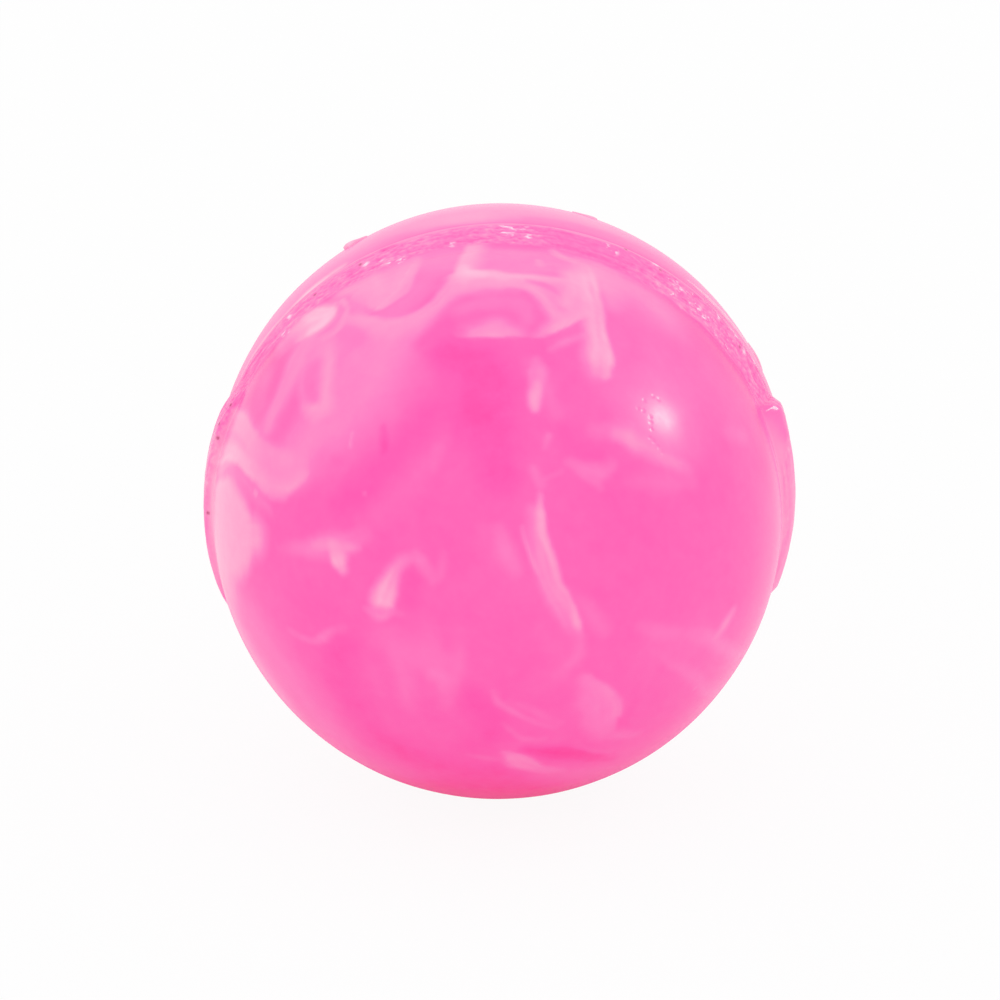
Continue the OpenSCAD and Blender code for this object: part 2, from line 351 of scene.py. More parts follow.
FRONT_STROKES = [
    # Broad hazes
    # Partly painted light: the pale haze at the upper right, the side that the light falls on
    (0.32, 24, [(38, 64, 5), (54, 52, 7), (66, 44, 6), (76, 36, 3, 0.7)]),
    (0.52, 16, [(30, 86, 4), (40, 78, 4), (50, 68, 2)]),
    (0.28, 24, [(80, 34, 3), (77, 15, 3), (75, -5, 4), (68, -22, 6)]),
    # Painted shade: a dark haze along the upper right outline, against the sheen of the rim
    (0.10, 16, [(64, 62, 3, 0.6), (74, 51, 5), (79, 40, 4), (77, 24, 3, 0.8)]),
    # Painted highlight: a broad pale halo round the lamp's highlight
    (0.42, 22, [(34, 53, 3, 0.7), (41, 45, 6), (43, 36, 4, 0.8)]),
    # Partly painted reflection: pale haze along the right rim
    (0.46, 18, [(92, 28, 4), (92, 8, 5), (89, -8, 6), (82, -24, 6)]),
    (0.30, 16, [(36, -9, 3), (48, -16, 6), (58, -24, 6), (56, -36, 5)]),
    # Painted shade: a dark haze along the upper left outline, against the sheen of the rim
    (0.10, 12, [(-88, 40, 6), (-80, 50, 7), (-72, 56, 5), (-65, 46, 5)]),
    (0.51, 14, [(-27, 60, 8), (-32, 50, 10), (-38, 40, 9), (-46, 32, 5)]),
    (0.52, 10, [(-47, 65, 3), (-45, 56, 3.4), (-43, 48, 1.5)]),
    (0.54, 9, [(-52, 60, 3), (-53, 52, 3), (-55, 44, 1.5), (-57.5, 37, 1.5)]),
    (0.36, 14, [(-58, -12, 2), (-50, -20, 5), (-44, -28, 5), (-38, -38, 3)]),
    # The next two hazes are partly marbling and partly a painted pale reflection along the lower
    # left rim
    (0.50, 14, [(-84, -16, 4), (-72, -20, 5), (-62, -28, 4), (-54, -38, 3)]),
    (0.74, 18, [(-94, -8, 5), (-80, -9, 5), (-71, -8, 3)]),
    (0.46, 6, [(-28, 87, 5), (0, 85.6, 6.4), (26, 85, 5)]),
    (0.28, 9, [(-11, 39, 0.5, 0.7), (-17, 28, 1.5), (-26, 18, 1, 0.7)]),
    (0.34, 9, [(-22, -3, 1, 0.6), (-15, -7, 2.5), (-10, -9, 3), (-9, -15, 1.2, 0.6)]),
    (0.28, 9, [(12, -1, 0.5, 0.6), (15, -8, 2), (11, -13, 1, 0.6)]),
    (0.28, 8, [(-1, 18, 0.5, 0.6), (3, 14, 1.5), (6, 9, 0.5, 0.6)]),
    # Deep pink between the hazes
    (0.11, 10, [(-12, 58, 3), (-3, 53, 6), (-1, 42, 6), (1, 32, 4)]),
    (0.14, 8, [(-14, 42, 2), (-19, 35, 2.4), (-26, 28, 2.4), (-32, 22, 1)]),
    (0.12, 9, [(-30, -8, 2), (-31, -16, 3.4), (-28, -26, 3)]),
    (0.20, 9, [(-50, 5, 3), (-42, 1, 4), (-34, 1, 2)]),
    (0.10, 14, [(-24, -34, 2), (-10, -40, 6), (0, -42, 5)]),
    # Painted shade: the bottom of the ball painted the deepest pink
    (0.00, 14, [(-18, -60, 8), (0, -58, 12), (14, -62, 9)]),
    (0.13, 9, [(-3, -16, 1), (0, -24, 3), (-4, -32, 2)]),
    (0.22, 12, [(34, 18, 4), (46, 20, 4), (58, 28, 3)]),
    (0.30, 7, [(33, 67, 1), (36, 60, 2), (32, 54, 1)]),
    # Lens and arch over the crown
    (0.62, 6, [(-48, 76, 2), (-40, 78, 5), (-35, 74, 4)]),
    (0.42, 5, [(-19, 85, 1.5, 0.3), (-20, 78, 2.8, 0.8), (-22.5, 73, 2.8), (-27, 68.4, 1)]),
    (0.65, (1.8, 10), [(-26.4, 86, 1.6, 0.6), (-27, 80, 2.4), (-28.6, 75, 3),
        (-32.5, 70.4, 2.4)]),
    (0.44, 1.8, [(-47, 73.6, 0.3, 0.7), (-41, 70.2, 0.7), (-35, 67.6, 0.5)]),
    (0.63, (1.8, 8), [(-42, 67.6, 0.6, 0.6), (-36, 65.4, 1.2), (-28, 64.2, 1.4),
        (-21.2, 65.2, 1.8), (-16.2, 68.6, 1.8), (-13.4, 73.4, 1.6), (-11.8, 78, 1.2)]),
    (0.20, 5, [(-17, 59, 1), (-12, 63.5, 2.2), (-9.4, 68, 1.2)]),
    (0.64, 7, [(-11, 75.4, 1.6), (-4, 76.4, 1.8), (4, 77, 1.2)]),
    (0.38, 7, [(-9, 68, 0.6), (-4, 70, 1.4), (2, 71, 1.6), (7, 69, 1.2), (9, 65, 0.8)]),
    (0.34, 2, [(4, 74.6, 0.6), (5.4, 73.6, 0.7)]),
    (0.26, 3, [(-8, 64, 0.8), (-5, 66.6, 0.8, 0.7)]),
    (0.52, 5, [(-4.4, 62.8, 0.8, 0.7), (0.6, 64, 1.6), (5, 62.8, 0.8, 0.7)]),
    (0.62, (6, 1.2), [(-8, 61.2, 0.2, 0.3), (-3, 61.6, 0.3, 0.8), (1, 61.8, 0.8),
        (5, 61.6, 0.3, 0.7), (9, 60.9, 0.2, 0.3)]),
    (0.28, 3, [(10.4, 69, 0.5, 0.7), (10.8, 65, 0.8), (10.2, 61.4, 0.4)]),
    (0.74, (1.8, 6), [(-10, 78, 0.6), (-9.6, 82, 1.4), (-8.6, 86, 1.6), (-7.6, 92, 1.6)]),
    (0.60, 6, [(3, 77, 0.8), (9, 77, 1.6), (15, 75, 1.8), (18, 72, 1)]),
    (0.80, (1.8, 7), [(-10.4, 80, 1), (-4, 80.2, 1.2), (2, 79.8, 1.2), (8, 79.4, 1, 0.9),
        (14, 78.8, 0.9, 0.7), (20, 78.4, 1, 0.8)]),
    (0.93, 4, [(-8.8, 82, 0.6, 0.8), (-8, 80.4, 1), (-4.6, 80, 0.6, 0.7)]),
    (0.63, (3, 3), [(5.4, 77.6, 0.5, 0.7), (9.8, 75, 1.2), (13, 71.4, 1.5), (15, 67.2, 1.8)]),
    (0.40, 2.4, [(9.4, 77.5, 0.3, 0.6), (14, 75.9, 0.8), (17.8, 73, 0.8), (18.6, 71, 0.4, 0.5)]),
    (0.68, 4, [(22, 80, 2), (21.6, 74, 2), (19, 69.6, 1.6)]),
    (0.68, (5, 1.6), [(11.6, 61.2, 0.4, 0.6), (14.4, 63.4, 1.2), (18, 65.5, 1.6), (23, 68, 1.6)]),
    (0.30, (1.4, 3), [(12.6, 59.6, 0.3, 0.7), (17, 62.2, 0.5), (22.6, 64.8, 0.5)]),
    (0.44, (1.8, 3), [(13, 57.8, 0.3, 0.6), (17, 60.3, 0.5), (21.4, 61.9, 0.4, 0.8)]),
    (0.62, 9, [(31, 83, 2), (33, 76, 1.4), (32, 71, 0.6, 0.6)]),
    (0.80, (1.8, 5), [(26.6, 85, 1.6, 0.4), (26.4, 79, 2.4), (26, 72, 2.2), (26.2, 63, 2.3, 0.95),
        (25.4, 56, 3.3, 0.85), (25, 53, 2.8, 0.65)]),
    (0.70, 2.4, [(18, 90, 0.4), (20, 88, 0.9), (24, 86.6, 0.4, 0.6)]),
    (0.62, 2, [(12.8, 85.6, 0.5), (13, 83.8, 0.6, 0.7)]),
    # Tooth, its rings and the loop under it
    (0.64, 7, [(-69, 61, 1, 0.5), (-63.4, 63.4, 3), (-57, 63.4, 4)]),
    (0.88, 4, [(-62, 67.6, 1.2, 0.8), (-56, 67, 2.8), (-50.4, 67.8, 2.4)]),
    (0.95, (1.8, 7), [(-46.6, 69.4, 0.7, 0.7), (-47.6, 66.4, 1.2), (-50, 63.8, 1.2),
        (-53, 61.2, 0.8), (-55.8, 59, 0.3, 0.4)]),
    (0.40, 2, [(-47.6, 71, 0.3, 0.7), (-44.6, 69.4, 0.6), (-43.6, 66.4, 0.9), (-45.2, 63.4, 0.7),
        (-48.8, 61, 0.3, 0.6)]),
    (0.60, 1.6, [(-46.4, 72.4, 0.4), (-42.6, 69.8, 0.5), (-41.2, 66, 0.6), (-42.4, 62, 0.7),
        (-46, 59.4, 0.4, 0.6)]),
    (0.40, 4, [(-39, 61, 0.8), (-35, 59.6, 1.2, 0.7)]),
    (0.35, 5, [(-46.8, 51.4, 0.8, 0.7), (-46.2, 47.4, 1.8), (-45, 44.4, 1.4)]),
    (0.66, (3.4, 2.4), [(-44, 57.4, 0.4, 0.3), (-42.4, 53, 1, 0.8), (-40.8, 48, 1.4),
        (-39.8, 44.4, 1.7), (-41, 41.8, 1.8), (-43.8, 41.4, 1.4, 0.9), (-46.8, 43, 0.7, 0.6),
        (-49, 46.4, 0.3, 0.4), (-50, 50, 0.3, 0.2)]),
    (0.54, 3.4, [(-54.6, 58, 0.6, 0.7), (-56.4, 52, 0.8), (-56, 45, 0.9), (-57.8, 38, 0.9),
        (-57, 35.4, 0.6, 0.6)]),
    (0.28, 5, [(-49.6, 42.6, 0.5, 0.6), (-51.4, 38, 1.8), (-52.8, 33.8, 1.2, 0.7)]),
    (0.29, 7, [(-65, 47, 1.4), (-62.5, 41, 2), (-61, 37.6, 0.8, 0.6)]),
    (0.45, 4, [(-68, 58, 0.4, 0.6), (-62, 55.6, 0.8, 0.6)]),
    # Bands and lobe at the left
    (0.66, 7, [(-93, 25, 4), (-80, 28, 5), (-70, 29, 5), (-61, 27.4, 3.4), (-52, 26, 3, 0.7),
        (-44, 28, 2, 0.5)]),
    (0.71, (2.4, 5), [(-92, 32.4, 1.6), (-80, 33.8, 1.8), (-70, 34, 1.8), (-63, 32.2, 1.4),
        (-56, 30.6, 1, 0.6), (-48, 29.6, 1, 0.4)]),
    (0.56, 2.4, [(-88, 26.4, 0.3, 0.5), (-80, 28.6, 0.5), (-72, 29.2, 0.5), (-65, 28, 0.3, 0.4)]),
    (0.88, (4, 2), [(-93, 18, 2), (-84, 20.8, 2), (-76, 24, 1.8), (-68, 25, 1.6, 0.95),
        (-60, 23.4, 1.4, 0.7), (-53, 21.6, 1.6, 0.55), (-47, 23.4, 1.4, 0.5),
        (-42.6, 26.6, 0.6, 0.3)]),
    (0.88, 7, [(-95, 6, 7), (-82, 6, 9), (-74, 7, 9.6), (-68, 7, 8)]),
    (0.78, 6, [(-72, 6, 9.6), (-66.4, 6.4, 9), (-61, 8.4, 7), (-57, 9.6, 4, 0.9)]),
    (0.42, (1.8, 4.4), [(-83, 15.4, 0.3, 0.5), (-77, 18.6, 0.4, 0.8), (-72, 20.6, 0.5),
        (-66, 21.4, 0.7), (-60, 20, 0.8), (-52, 17.6, 0.6, 0.7)]),
    (0.60, 1.2, [(-57.8, 19.5, 0.4), (-57, 19.3, 0.4)]),
    (0.52, 3, [(-52, 20.4, 0.4, 0.6), (-48, 21.4, 0.5, 0.6)]),
    # Pale lines along the rim beside the tabs; the two palest lines are a painted reflection along
    # the rim
    (1.00, 2, [(-91, 12, 0.9, 0.5), (-91, 0, 1.2), (-89, -12, 1.2), (-85, -26, 0.7, 0.5)]),
    (0.66, 5, [(88, 29, 1, 0.4), (92, 20, 3), (95, 10, 4), (95, 0, 4, 0.8)]),
    (1.00, 2, [(86, 25, 0.7, 0.4), (90, 10, 1.2), (90, -6, 1.3), (86, -22, 0.8, 0.6)]),
    # Wing, hook and what lies between them
    (0.45, 3.6, [(-48, 8.8, 0.3, 0.3), (-41, 11.2, 1, 0.8), (-36, 12.6, 2), (-31, 14.2, 2.2),
        (-25.6, 17.2, 0.8, 0.5)]),
    (0.58, 2, [(-38, 12.8, 0.4, 0.4), (-34, 13.4, 0.9), (-30.4, 13.4, 1),
        (-27.6, 14.2, 0.4, 0.5)]),
    (0.72, (2.4, 1.8), [(-33.4, 12.8, 0.8, 0.6), (-32, 10.6, 1.7), (-31, 8.8, 1.1, 0.8)]),
    (0.15, 5, [(-15, 9.6, 0.8), (-16.2, 5, 1.2)]),
    (0.44, 2.4, [(-14.8, 14.8, 0.4, 0.4), (-13.2, 12.8, 1.2), (-11.2, 10, 0.5, 0.5)]),
    (0.35, 2.4, [(-9.2, 15.4, 0.3, 0.4), (-9.4, 12, 0.7, 0.8), (-11, 9, 0.4, 0.4)]),
    (0.76, (2, 3), [(-14.2, 13.4, 0.5, 0.2), (-16.4, 13.4, 1.1, 0.45), (-18.6, 12, 1.2, 0.7),
        (-20, 9.2, 1.7, 0.85), (-21.2, 6, 2.2), (-21.8, 3.4, 2.6), (-22, 2, 2.3, 0.7)]),
    (0.44, 2, [(-25.6, 1.6, 0.3, 0.5), (-22, 1.2, 0.5, 0.8), (-17.6, 1.8, 0.3, 0.5)]),
    (0.44, 2.2, [(-45, -9.4, 0.2, 0.3), (-39, -10, 0.5, 0.8), (-36, -8.6, 0.9),
        (-33.4, -6, 0.6, 0.6), (-30, -3.4, 0.4, 0.2)]),
    (0.34, 5, [(-18.4, -6, 0.8, 0.6), (-17, -14, 1.6), (-17, -22, 1, 0.4)]),
    (0.38, 4.4, [(-12.4, 1, 0.6, 0.2), (-12, -5, 1.4, 0.8), (-10.6, -11, 1.4, 0.7)]),
    (0.37, 4, [(-5.4, -1, 0.6, 0.2), (-6.8, -7, 1.2, 0.7), (-8.2, -13, 1.2, 0.9),
        (-9, -19, 0.6, 0.3)]),
    (0.47, 3, [(-11.4, -10.6, 0.6, 0.7), (-9.6, -11.8, 0.9, 0.8), (-9.4, -14.4, 0.5, 0.4)]),
    # Small marks at the left of the centre
    (0.29, 3, [(-34.6, 31, 1), (-32.4, 31, 1)]),
    (0.09, 2, [(-24, 39, 0.5, 0.7), (-23.4, 36, 0.7), (-23.6, 34.6, 0.5, 0.7)]),
    (0.51, 2, [(-31, 43.5, 0.5), (-30.5, 43, 0.5)]),
    (0.52, 1.4, [(-31, 37.4, 0.3), (-31, 34.8, 0.3)]),
    (0.46, 1, [(-27, 25.6, 0.3), (-26.8, 25.4, 0.3)]),
    (0.33, 3, [(-11, 36, 0.4), (-11.4, 32, 0.5, 0.6)]),
    # Blob and fans at the right of the centre
    (0.33, 5, [(8, 54, 0.6, 0.7), (11.4, 50, 1.4), (14, 44, 1, 0.8)]),
    (0.48, 1.8, [(10, 54.6, 1.2, 0.6), (10.2, 52.4, 2.1), (9.6, 49.6, 1.5), (9.4, 46, 1.4, 0.8)]),
    (0.68, 2, [(9.8, 49.8, 0.5, 0.6), (9.1, 47, 1), (9.4, 44.6, 0.6, 0.8)]),
    (0.41, 2, [(12.4, 39, 0.4), (11.8, 37, 0.3, 0.6)]),
    (0.40, 2.6, [(9.3, 32, 0.5, 0.8), (10.4, 29, 0.7, 0.8)]),
    (0.34, 1.6, [(10, 29.6, 0.3, 0.6), (15, 31.6, 0.3, 0.8)]),
    (0.15, 5, [(16, 40, 0.6, 0.7), (17, 36, 1.4), (22.4, 34.6, 1)]),
    (0.43, 3, [(17, 33, 0.6, 0.8), (19.4, 31.4, 1.2), (22.4, 30.8, 1.7), (25.6, 32.4, 0.8, 0.6)]),
    (0.38, 2, [(18.6, 31, 0.4, 0.6), (21.4, 29.4, 0.7), (22.8, 27.4, 0.4, 0.5)]),
    (0.35, 9, [(26, 47, 0.6, 0.6), (32, 45, 1.6), (35, 38, 1.6)]),
    (0.43, 5, [(22.6, 39.6, 0.3, 0.5), (29, 38.6, 0.8), (35, 37, 1.2)]),
    (0.74, (3, 4.4), [(27.6, 38.4, 0.5, 0.5), (31.4, 37.4, 2), (35.2, 35.8, 1.8),
        (39.2, 33, 1.2, 0.75), (45, 29.6, 0.4, 0.3)]),
    (0.34, 6, [(30, 28.6, 0.4, 0.6), (37, 27.4, 0.8), (45, 26.4, 0.4, 0.6)]),
    (0.40, 6, [(61, 35, 0.5, 0.7), (67, 32, 0.8)]),
    (0.25, 6, [(62, 26, 0.8), (69, 29, 1, 0.9), (74, 34, 0.5, 0.6)]),
    # The next two hazes are partly pale marbling and partly a painted halo round the lamp's
    # highlight
    (0.38, 9, [(31, 40, 1, 0.6), (38, 38, 3), (45, 38, 1.5, 0.6)]),
    (0.51, 9, [(35, 44.4, 1, 0.6), (39, 41, 2.6), (42, 36.6, 1, 0.7)]),
    # Comet
    (0.42, 3.4, [(1.6, 20, 0.8, 0.6), (2.8, 16, 1.8), (5, 12, 1.2, 0.7)]),
    (0.54, (2, 5), [(9.2, 23, 1, 0.7), (11.2, 14, 1.7), (14, 6, 1.7), (16.8, 0, 1.1, 0.7)]),
    (0.51, 1.6, [(6.4, 20.6, 0.3, 0.6), (8.2, 15, 0.4), (11, 9.6, 0.5), (13, 5, 0.4),
        (15, 0, 0.3, 0.5)]),
    (0.46, 1.2, [(8.3, 23.8, 0.2, 0.6), (9.4, 21, 0.3)]),
    (0.40, 5, [(17, 7, 0.3, 0.3), (20.4, 2, 1.2, 0.8), (23.4, -1.8, 0.9, 0.6)]),
    (0.75, (1.4, 2), [(10.3, 26.8, 0.3, 0.5), (10.2, 23.4, 0.8), (11.2, 19, 0.8),
        (12.9, 14, 0.6, 0.85), (14.5, 9.4, 0.6, 0.7), (16.3, 5, 0.6, 0.7), (17.5, 0.4, 0.7, 0.8),
        (18.2, -2.6, 0.3, 0.3)]),
    (0.37, 4.4, [(18.2, -3, 0.4, 0.7), (17.4, -7, 0.6), (13.6, -11.6, 0.3, 0.3)]),
    # Clouds and sweeps at the bottom
    (0.44, 4, [(19, -13.6, 1, 0.7), (20.6, -18, 2.6), (22.4, -23, 3.2), (22.4, -28, 2.6),
        (24, -31, 1.4, 0.7)]),
    (0.52, (1.6, 5), [(20.4, -13.2, 0.5, 0.6), (24, -17, 1.1), (26.4, -21, 1.3), (26.4, -25, 1.1),
        (25.6, -28, 0.8, 0.7), (25, -30.6, 0.4, 0.4)]),
    (0.16, 1.6, [(26.8, -26.6, 0.3, 0.7), (28.4, -28.8, 0.7), (30, -31, 0.3, 0.5)]),
    (0.36, 2.6, [(23, -31, 0.4, 0.5), (27.4, -32.6, 1), (32.4, -35, 0.5, 0.5)]),
    (0.20, 3, [(31, -19, 0.3, 0.5), (30.4, -24, 0.6), (27.6, -28, 0.4, 0.7)]),
    (0.00, 5, [(7.6, -31.6, 0.6, 0.7), (13, -33.8, 2.2), (19.6, -37, 2.4), (26, -42, 1.2, 0.6)]),
    (0.24, 2, [(18, -32, 0.3, 0.6), (22, -35.6, 0.4), (26.4, -38.8, 0.3, 0.7)]),
    (0.32, (2, 9), [(12, -42, 1, 0.6), (19, -45, 1.4, 0.8), (27, -49, 1.2, 0.5)]),
    (0.58, (1.6, 3), [(3.4, -32.6, 0.7, 0.6), (5, -35, 2.2), (8, -37.8, 2.3),
        (11.4, -40.4, 1.4, 0.9), (16, -42.4, 0.9, 0.4)]),
    (0.28, 2.4, [(-4.6, -34, 0.2, 0.4), (-1, -34.6, 0.5), (2.4, -35.4, 0.3, 0.5)]),
    (0.40, 1.8, [(1.2, -14.6, 0.3, 0.5), (2.4, -18, 0.6), (6, -21, 0.6), (13.4, -25, 0.4, 0.4)]),
    (0.35, 1.8, [(2.6, -23.4, 0.3, 0.5), (6.4, -27.4, 0.5), (11.6, -28.2, 0.4, 0.5)]),
    (0.34, 2.4, [(4, -17.6, 0.3, 0.5), (9, -20, 0.6), (14.6, -24, 0.4, 0.5)]),
    # Wisps at the right
    (0.47, 4, [(41, -8, 0.4, 0.2), (48, -11.4, 1.2, 0.8), (55, -18, 1.1), (63, -28, 0.7, 0.8)]),
    (0.40, (5, 2.4), [(37, -13, 0.3, 0.5), (45, -22, 0.8), (51, -30, 0.8), (58, -40, 0.5, 0.8)]),
    (0.24, 5, [(33, -11, 0.3, 0.3), (40, -21, 0.7, 0.6), (46, -30, 0.5, 0.4)]),
    (0.55, 3, [(52, -12.4, 0.8, 0.7), (54.4, -10.8, 1.4), (56.6, -9, 0.8, 0.7)]),
    (0.39, 3.4, [(30.6, -3, 0.5, 0.5), (35, -5, 1.4, 0.9), (39.6, -7.2, 0.8, 0.7)]),
    (0.44, 1.2, [(46.6, -26.6, 0.3), (47, -26.6, 0.3)]),
]
print("front strokes:", len(FRONT_STROKES))

# %% Strokes of the rear half
# The rear half holds the same folds, turned about the pole, under bands of its own.
REAR_TURN = 137
REAR_DARKEST = 0.1
REAR_BANDS = [
    # Partly painted light: the pale band over the top of the rear half
    (0.56, 9, [(-70, 46, 8, 0.3), (-50, 60, 8, 0.5), (-24, 74, 9), (0, 78, 9), (24, 74, 9),
        (50, 60, 8, 0.5), (70, 46, 8, 0.3)]),
    (0.66, 6, [(-24, 82, 2, 0.5), (-14, 84.6, 3), (-6, 85.6, 3), (2, 86, 2, 0.4)]),
    (0.38, 3.4, [(8, 87, 0.8, 0.4), (26, 83, 1.8), (44, 75, 1.8), (60, 62, 1, 0.6)]),
    (0.68, (6, 1.8), [(-38, 58, 0.6, 0.3), (-24, 64, 1.8, 0.8), (-8, 68, 2.6), (8, 66, 2.2, 0.9),
        (22, 58, 0.8, 0.3)]),
    (0.76, (1.8, 7), [(40, 52, 0.8, 0.4), (46, 40, 2.2), (45, 28, 2.4, 0.9), (40, 18, 0.8, 0.3)]),
    (0.84, (8, 2.4), [(66, 6, 1.5, 0.5), (72, -6, 5), (68, -18, 4.5), (58, -26, 1, 0.4)]),
    (0.66, (5, 1.6), [(-4, 34, 0.5, 0.3), (-12, 36, 1.5, 0.8), (-18, 30, 2.2),
        (-17, 22, 2.4, 0.8)]),
    (0.72, (1.8, 6), [(-80, 24, 2, 0.6), (-68, 20, 2.8), (-56, 12, 2.6, 0.9),
        (-46, 2, 0.8, 0.3)]),
    (0.52, (6, 2.4), [(8, 4, 0.8, 0.4), (14, -4, 3), (16, -13, 3.2, 0.8), (12, -21, 1, 0.3)]),
    (0.50, (1.6, 6), [(-44, -30, 0.8, 0.3), (-32, -38, 2.2), (-18, -43, 2.2, 0.9),
        (-4, -44, 0.8, 0.3)]),
    (0.45, 3, [(22, -48, 0.5, 0.4), (34, -50, 1.2), (46, -46, 0.5, 0.4)]),
]


def turned_on_map(points, degrees):
    """A stroke's points after a turn about the pole, which is a plain turn of the map."""
    cos, sin = math.cos(math.radians(degrees)), math.sin(math.radians(degrees))
    return [(x * cos - z * sin, x * sin + z * cos, *rest) for x, z, *rest in points]


rear_folds = [(max(tone, REAR_DARKEST), soft, turned_on_map(points, REAR_TURN))
              for tone, soft, points in FRONT_STROKES]
REAR_STROKES = rear_folds + REAR_BANDS
print("rear strokes:", len(REAR_STROKES))

# %% [markdown]
# ## From the map to the ball
#
# A map point is an angle and a direction from the pole, so sines and cosines put it on the sphere.
# Each stroke becomes a row of close points along a smooth curve. The points carry the stroke's
# number, half width, softness, pressure and tone, and the direction to its left side, and a brush
# can look them up later.

# %% Stroke points on the sphere
STROKE_STEP = 0.25
NARROWEST = 0.1


def map_direction(x, z):
    """Direction from a half's centre to a point of its map, with the pole along -Y."""
    from_pole = np.radians(np.hypot(x, z))
    around = np.arctan2(z, x)
    return np.stack([np.sin(from_pole) * np.cos(around), -np.cos(from_pole),
                     np.sin(from_pole) * np.sin(around)], axis=-1)


def smooth_row(points, step):
    """Points at a close step along the smooth curve through the given ones."""
    given = np.array([(*point, 1)[:4] for point in points], float)
    padded = np.vstack([given[:1], given, given[-1:]])
    rows = []
    for before, start, end, after in zip(padded, padded[1:], padded[2:], padded[3:]):
        count = max(2, round(np.hypot(*(end - start)[:2]) / step))
        t = np.linspace(0, 1, count, endpoint=False)[:, None]
        rows.append(0.5 * (2 * start + (end - before) * t
                           + (2 * before - 5 * start + 4 * end - after) * t ** 2
                           + (3 * start - before - 3 * end + after) * t ** 3))
    return np.vstack(rows + [given[-1:]])


def turned_about_z(directions, degrees):
    cos, sin = math.cos(math.radians(degrees)), math.sin(math.radians(degrees))
    x, y, z = directions.T
    return np.stack([x * cos - y * sin, x * sin + y * cos, z], axis=-1)


def unit(vectors):
    return vectors / np.maximum(np.linalg.norm(vectors, axis=-1, keepdims=True), 1e-12)


def point_cloud(name, spots):
    """An object of loose points, which stays only while the trees need it."""
    mesh = bpy.data.meshes.new(name)
    mesh.from_pydata(spots.tolist(), [], [])
    return in_scene(name, mesh)


def write_facts(mesh, facts):
    """Stores one value per point of a mesh under each label."""
    for label, values in facts.items():
        kind = "INT" if label == "stroke" else "FLOAT"
        mesh.attributes.new(label, kind, "POINT").data.foreach_set("value", values)


def stroke_cloud(name, strokes, centre, radius, place):
    """The points of all strokes, where place takes map directions to the ball."""
    rows = [smooth_row(points, STROKE_STEP) for tone, soft, points in strokes]
    counts = [len(row) for row in rows]
    outward = [place(map_direction(row[:, 0], row[:, 1])) for row in rows]
    left = [unit(np.cross(out, np.gradient(out, axis=0))) for out in outward]
    sides = [soft if isinstance(soft, tuple) else (soft, soft) for tone, soft, points in strokes]
    row = np.vstack(rows)
    degree = math.radians(1) * radius
    cloud = point_cloud(name, centre + radius * np.vstack(outward))
    write_facts(cloud.data, {
        "stroke": np.repeat(np.arange(len(strokes)), counts),
        "half_width": np.maximum(row[:, 2], NARROWEST) * degree,
        "soft_left": np.repeat([side[0] * degree for side in sides], counts),
        "soft_right": np.repeat([side[1] * degree for side in sides], counts),
        "pressure": np.clip(row[:, 3], 0, 1),
        "tone": np.repeat([tone for tone, soft, points in strokes], counts),
    })
    leftward = cloud.data.attributes.new("left", "FLOAT_VECTOR", "POINT")
    leftward.data.foreach_set("vector", np.vstack(left).ravel())
    return cloud


MIRROR_Y = np.array([1, -1, 1])
front_cloud = stroke_cloud("front_strokes", FRONT_STROKES, front_centre, front_r,
                           lambda directions: turned_about_z(directions, MARBLE_TURN))
rear_cloud = stroke_cloud("rear_strokes", REAR_STROKES, rear_centre, rear_r,
                          lambda directions: directions * MIRROR_Y)
print("points on strokes:", len(front_cloud.data.vertices), "and", len(rear_cloud.data.vertices))

# %% [markdown]
# ## A brush made of geometry nodes
#
# The tree goes over the dome once for each stroke, in a repeat zone. Every point of the skin finds
# the nearest point of the stroke and reads how wide, soft and pale the stroke is there. Before
# that a noise shifts the point a little, which gives the bands the wandering edge of folded
# rubber. A second noise, drawn out along the stroke, makes strands of all strokes but the soft
# hazes. The same tree also gives the skin its faint waves and presses the small pits into it.

# %% Brush tree
# Share of the softness called Smooth from up to which a stroke is all strands
FIBRE_FADE = 0.3


def new_tree(name, inputs):
    """A geometry node tree with a mesh going in and out, and named inputs for its sizes."""
    tree = bpy.data.node_groups.new(name, "GeometryNodeTree")
    tree.interface.new_socket("Geometry", in_out="INPUT", socket_type="NodeSocketGeometry")
    tree.interface.new_socket("Geometry", in_out="OUTPUT", socket_type="NodeSocketGeometry")
    for label, kind in inputs.items():
        tree.interface.new_socket(label, in_out="INPUT", socket_type="NodeSocket" + kind)
    board = Board(tree)
    start = board.node("NodeGroupInput")
    return tree, board, {label: start.other(label) for label in ["Geometry", *inputs]}


def end_tree(board, geometry, lift, material):
    """Lifts the skin along its normal, realizes instances, sets the material and ends the tree."""
    offset = board.scaled(board.node("GeometryNodeInputNormal"), lift)
    lifted = board.node("GeometryNodeSetPosition", {}, {"Geometry": geometry, "Offset": offset})
    smooth = board.node("GeometryNodeSetShadeSmooth", {}, {"Geometry": lifted})
    whole = board.node("GeometryNodeRealizeInstances", {}, {0: smooth})
    painted = board.node("GeometryNodeSetMaterial", {}, {0: whole, "Material": material})
    board.plug(painted, board.tree.nodes.new("NodeGroupOutput").inputs[0])


def named(board, label, kind="FLOAT"):
    return board.node("GeometryNodeInputNamedAttribute", {"data_type": kind}, {"Name": label})


def stored(board, geometry, label, value, kind="FLOAT"):
    settings = {"data_type": kind, "domain": "POINT"}
    sockets = {"Geometry": geometry, "Name": label, "Value": value}
    return board.node("GeometryNodeStoreNamedAttribute", settings, sockets)


def nearness(board, target, radius):
    """1 at the points of an object, falling smoothly to 0 at the given radius from them."""
    points = board.node("GeometryNodeObjectInfo", {}, {"Object": target}, "Geometry")
    settings = {"target_element": "POINTS"}
    gap = board.node("GeometryNodeProximity", settings, {"Target": points}, "Distance")
    return board.ease(gap, 0.0, radius, 1.0, 0.0)


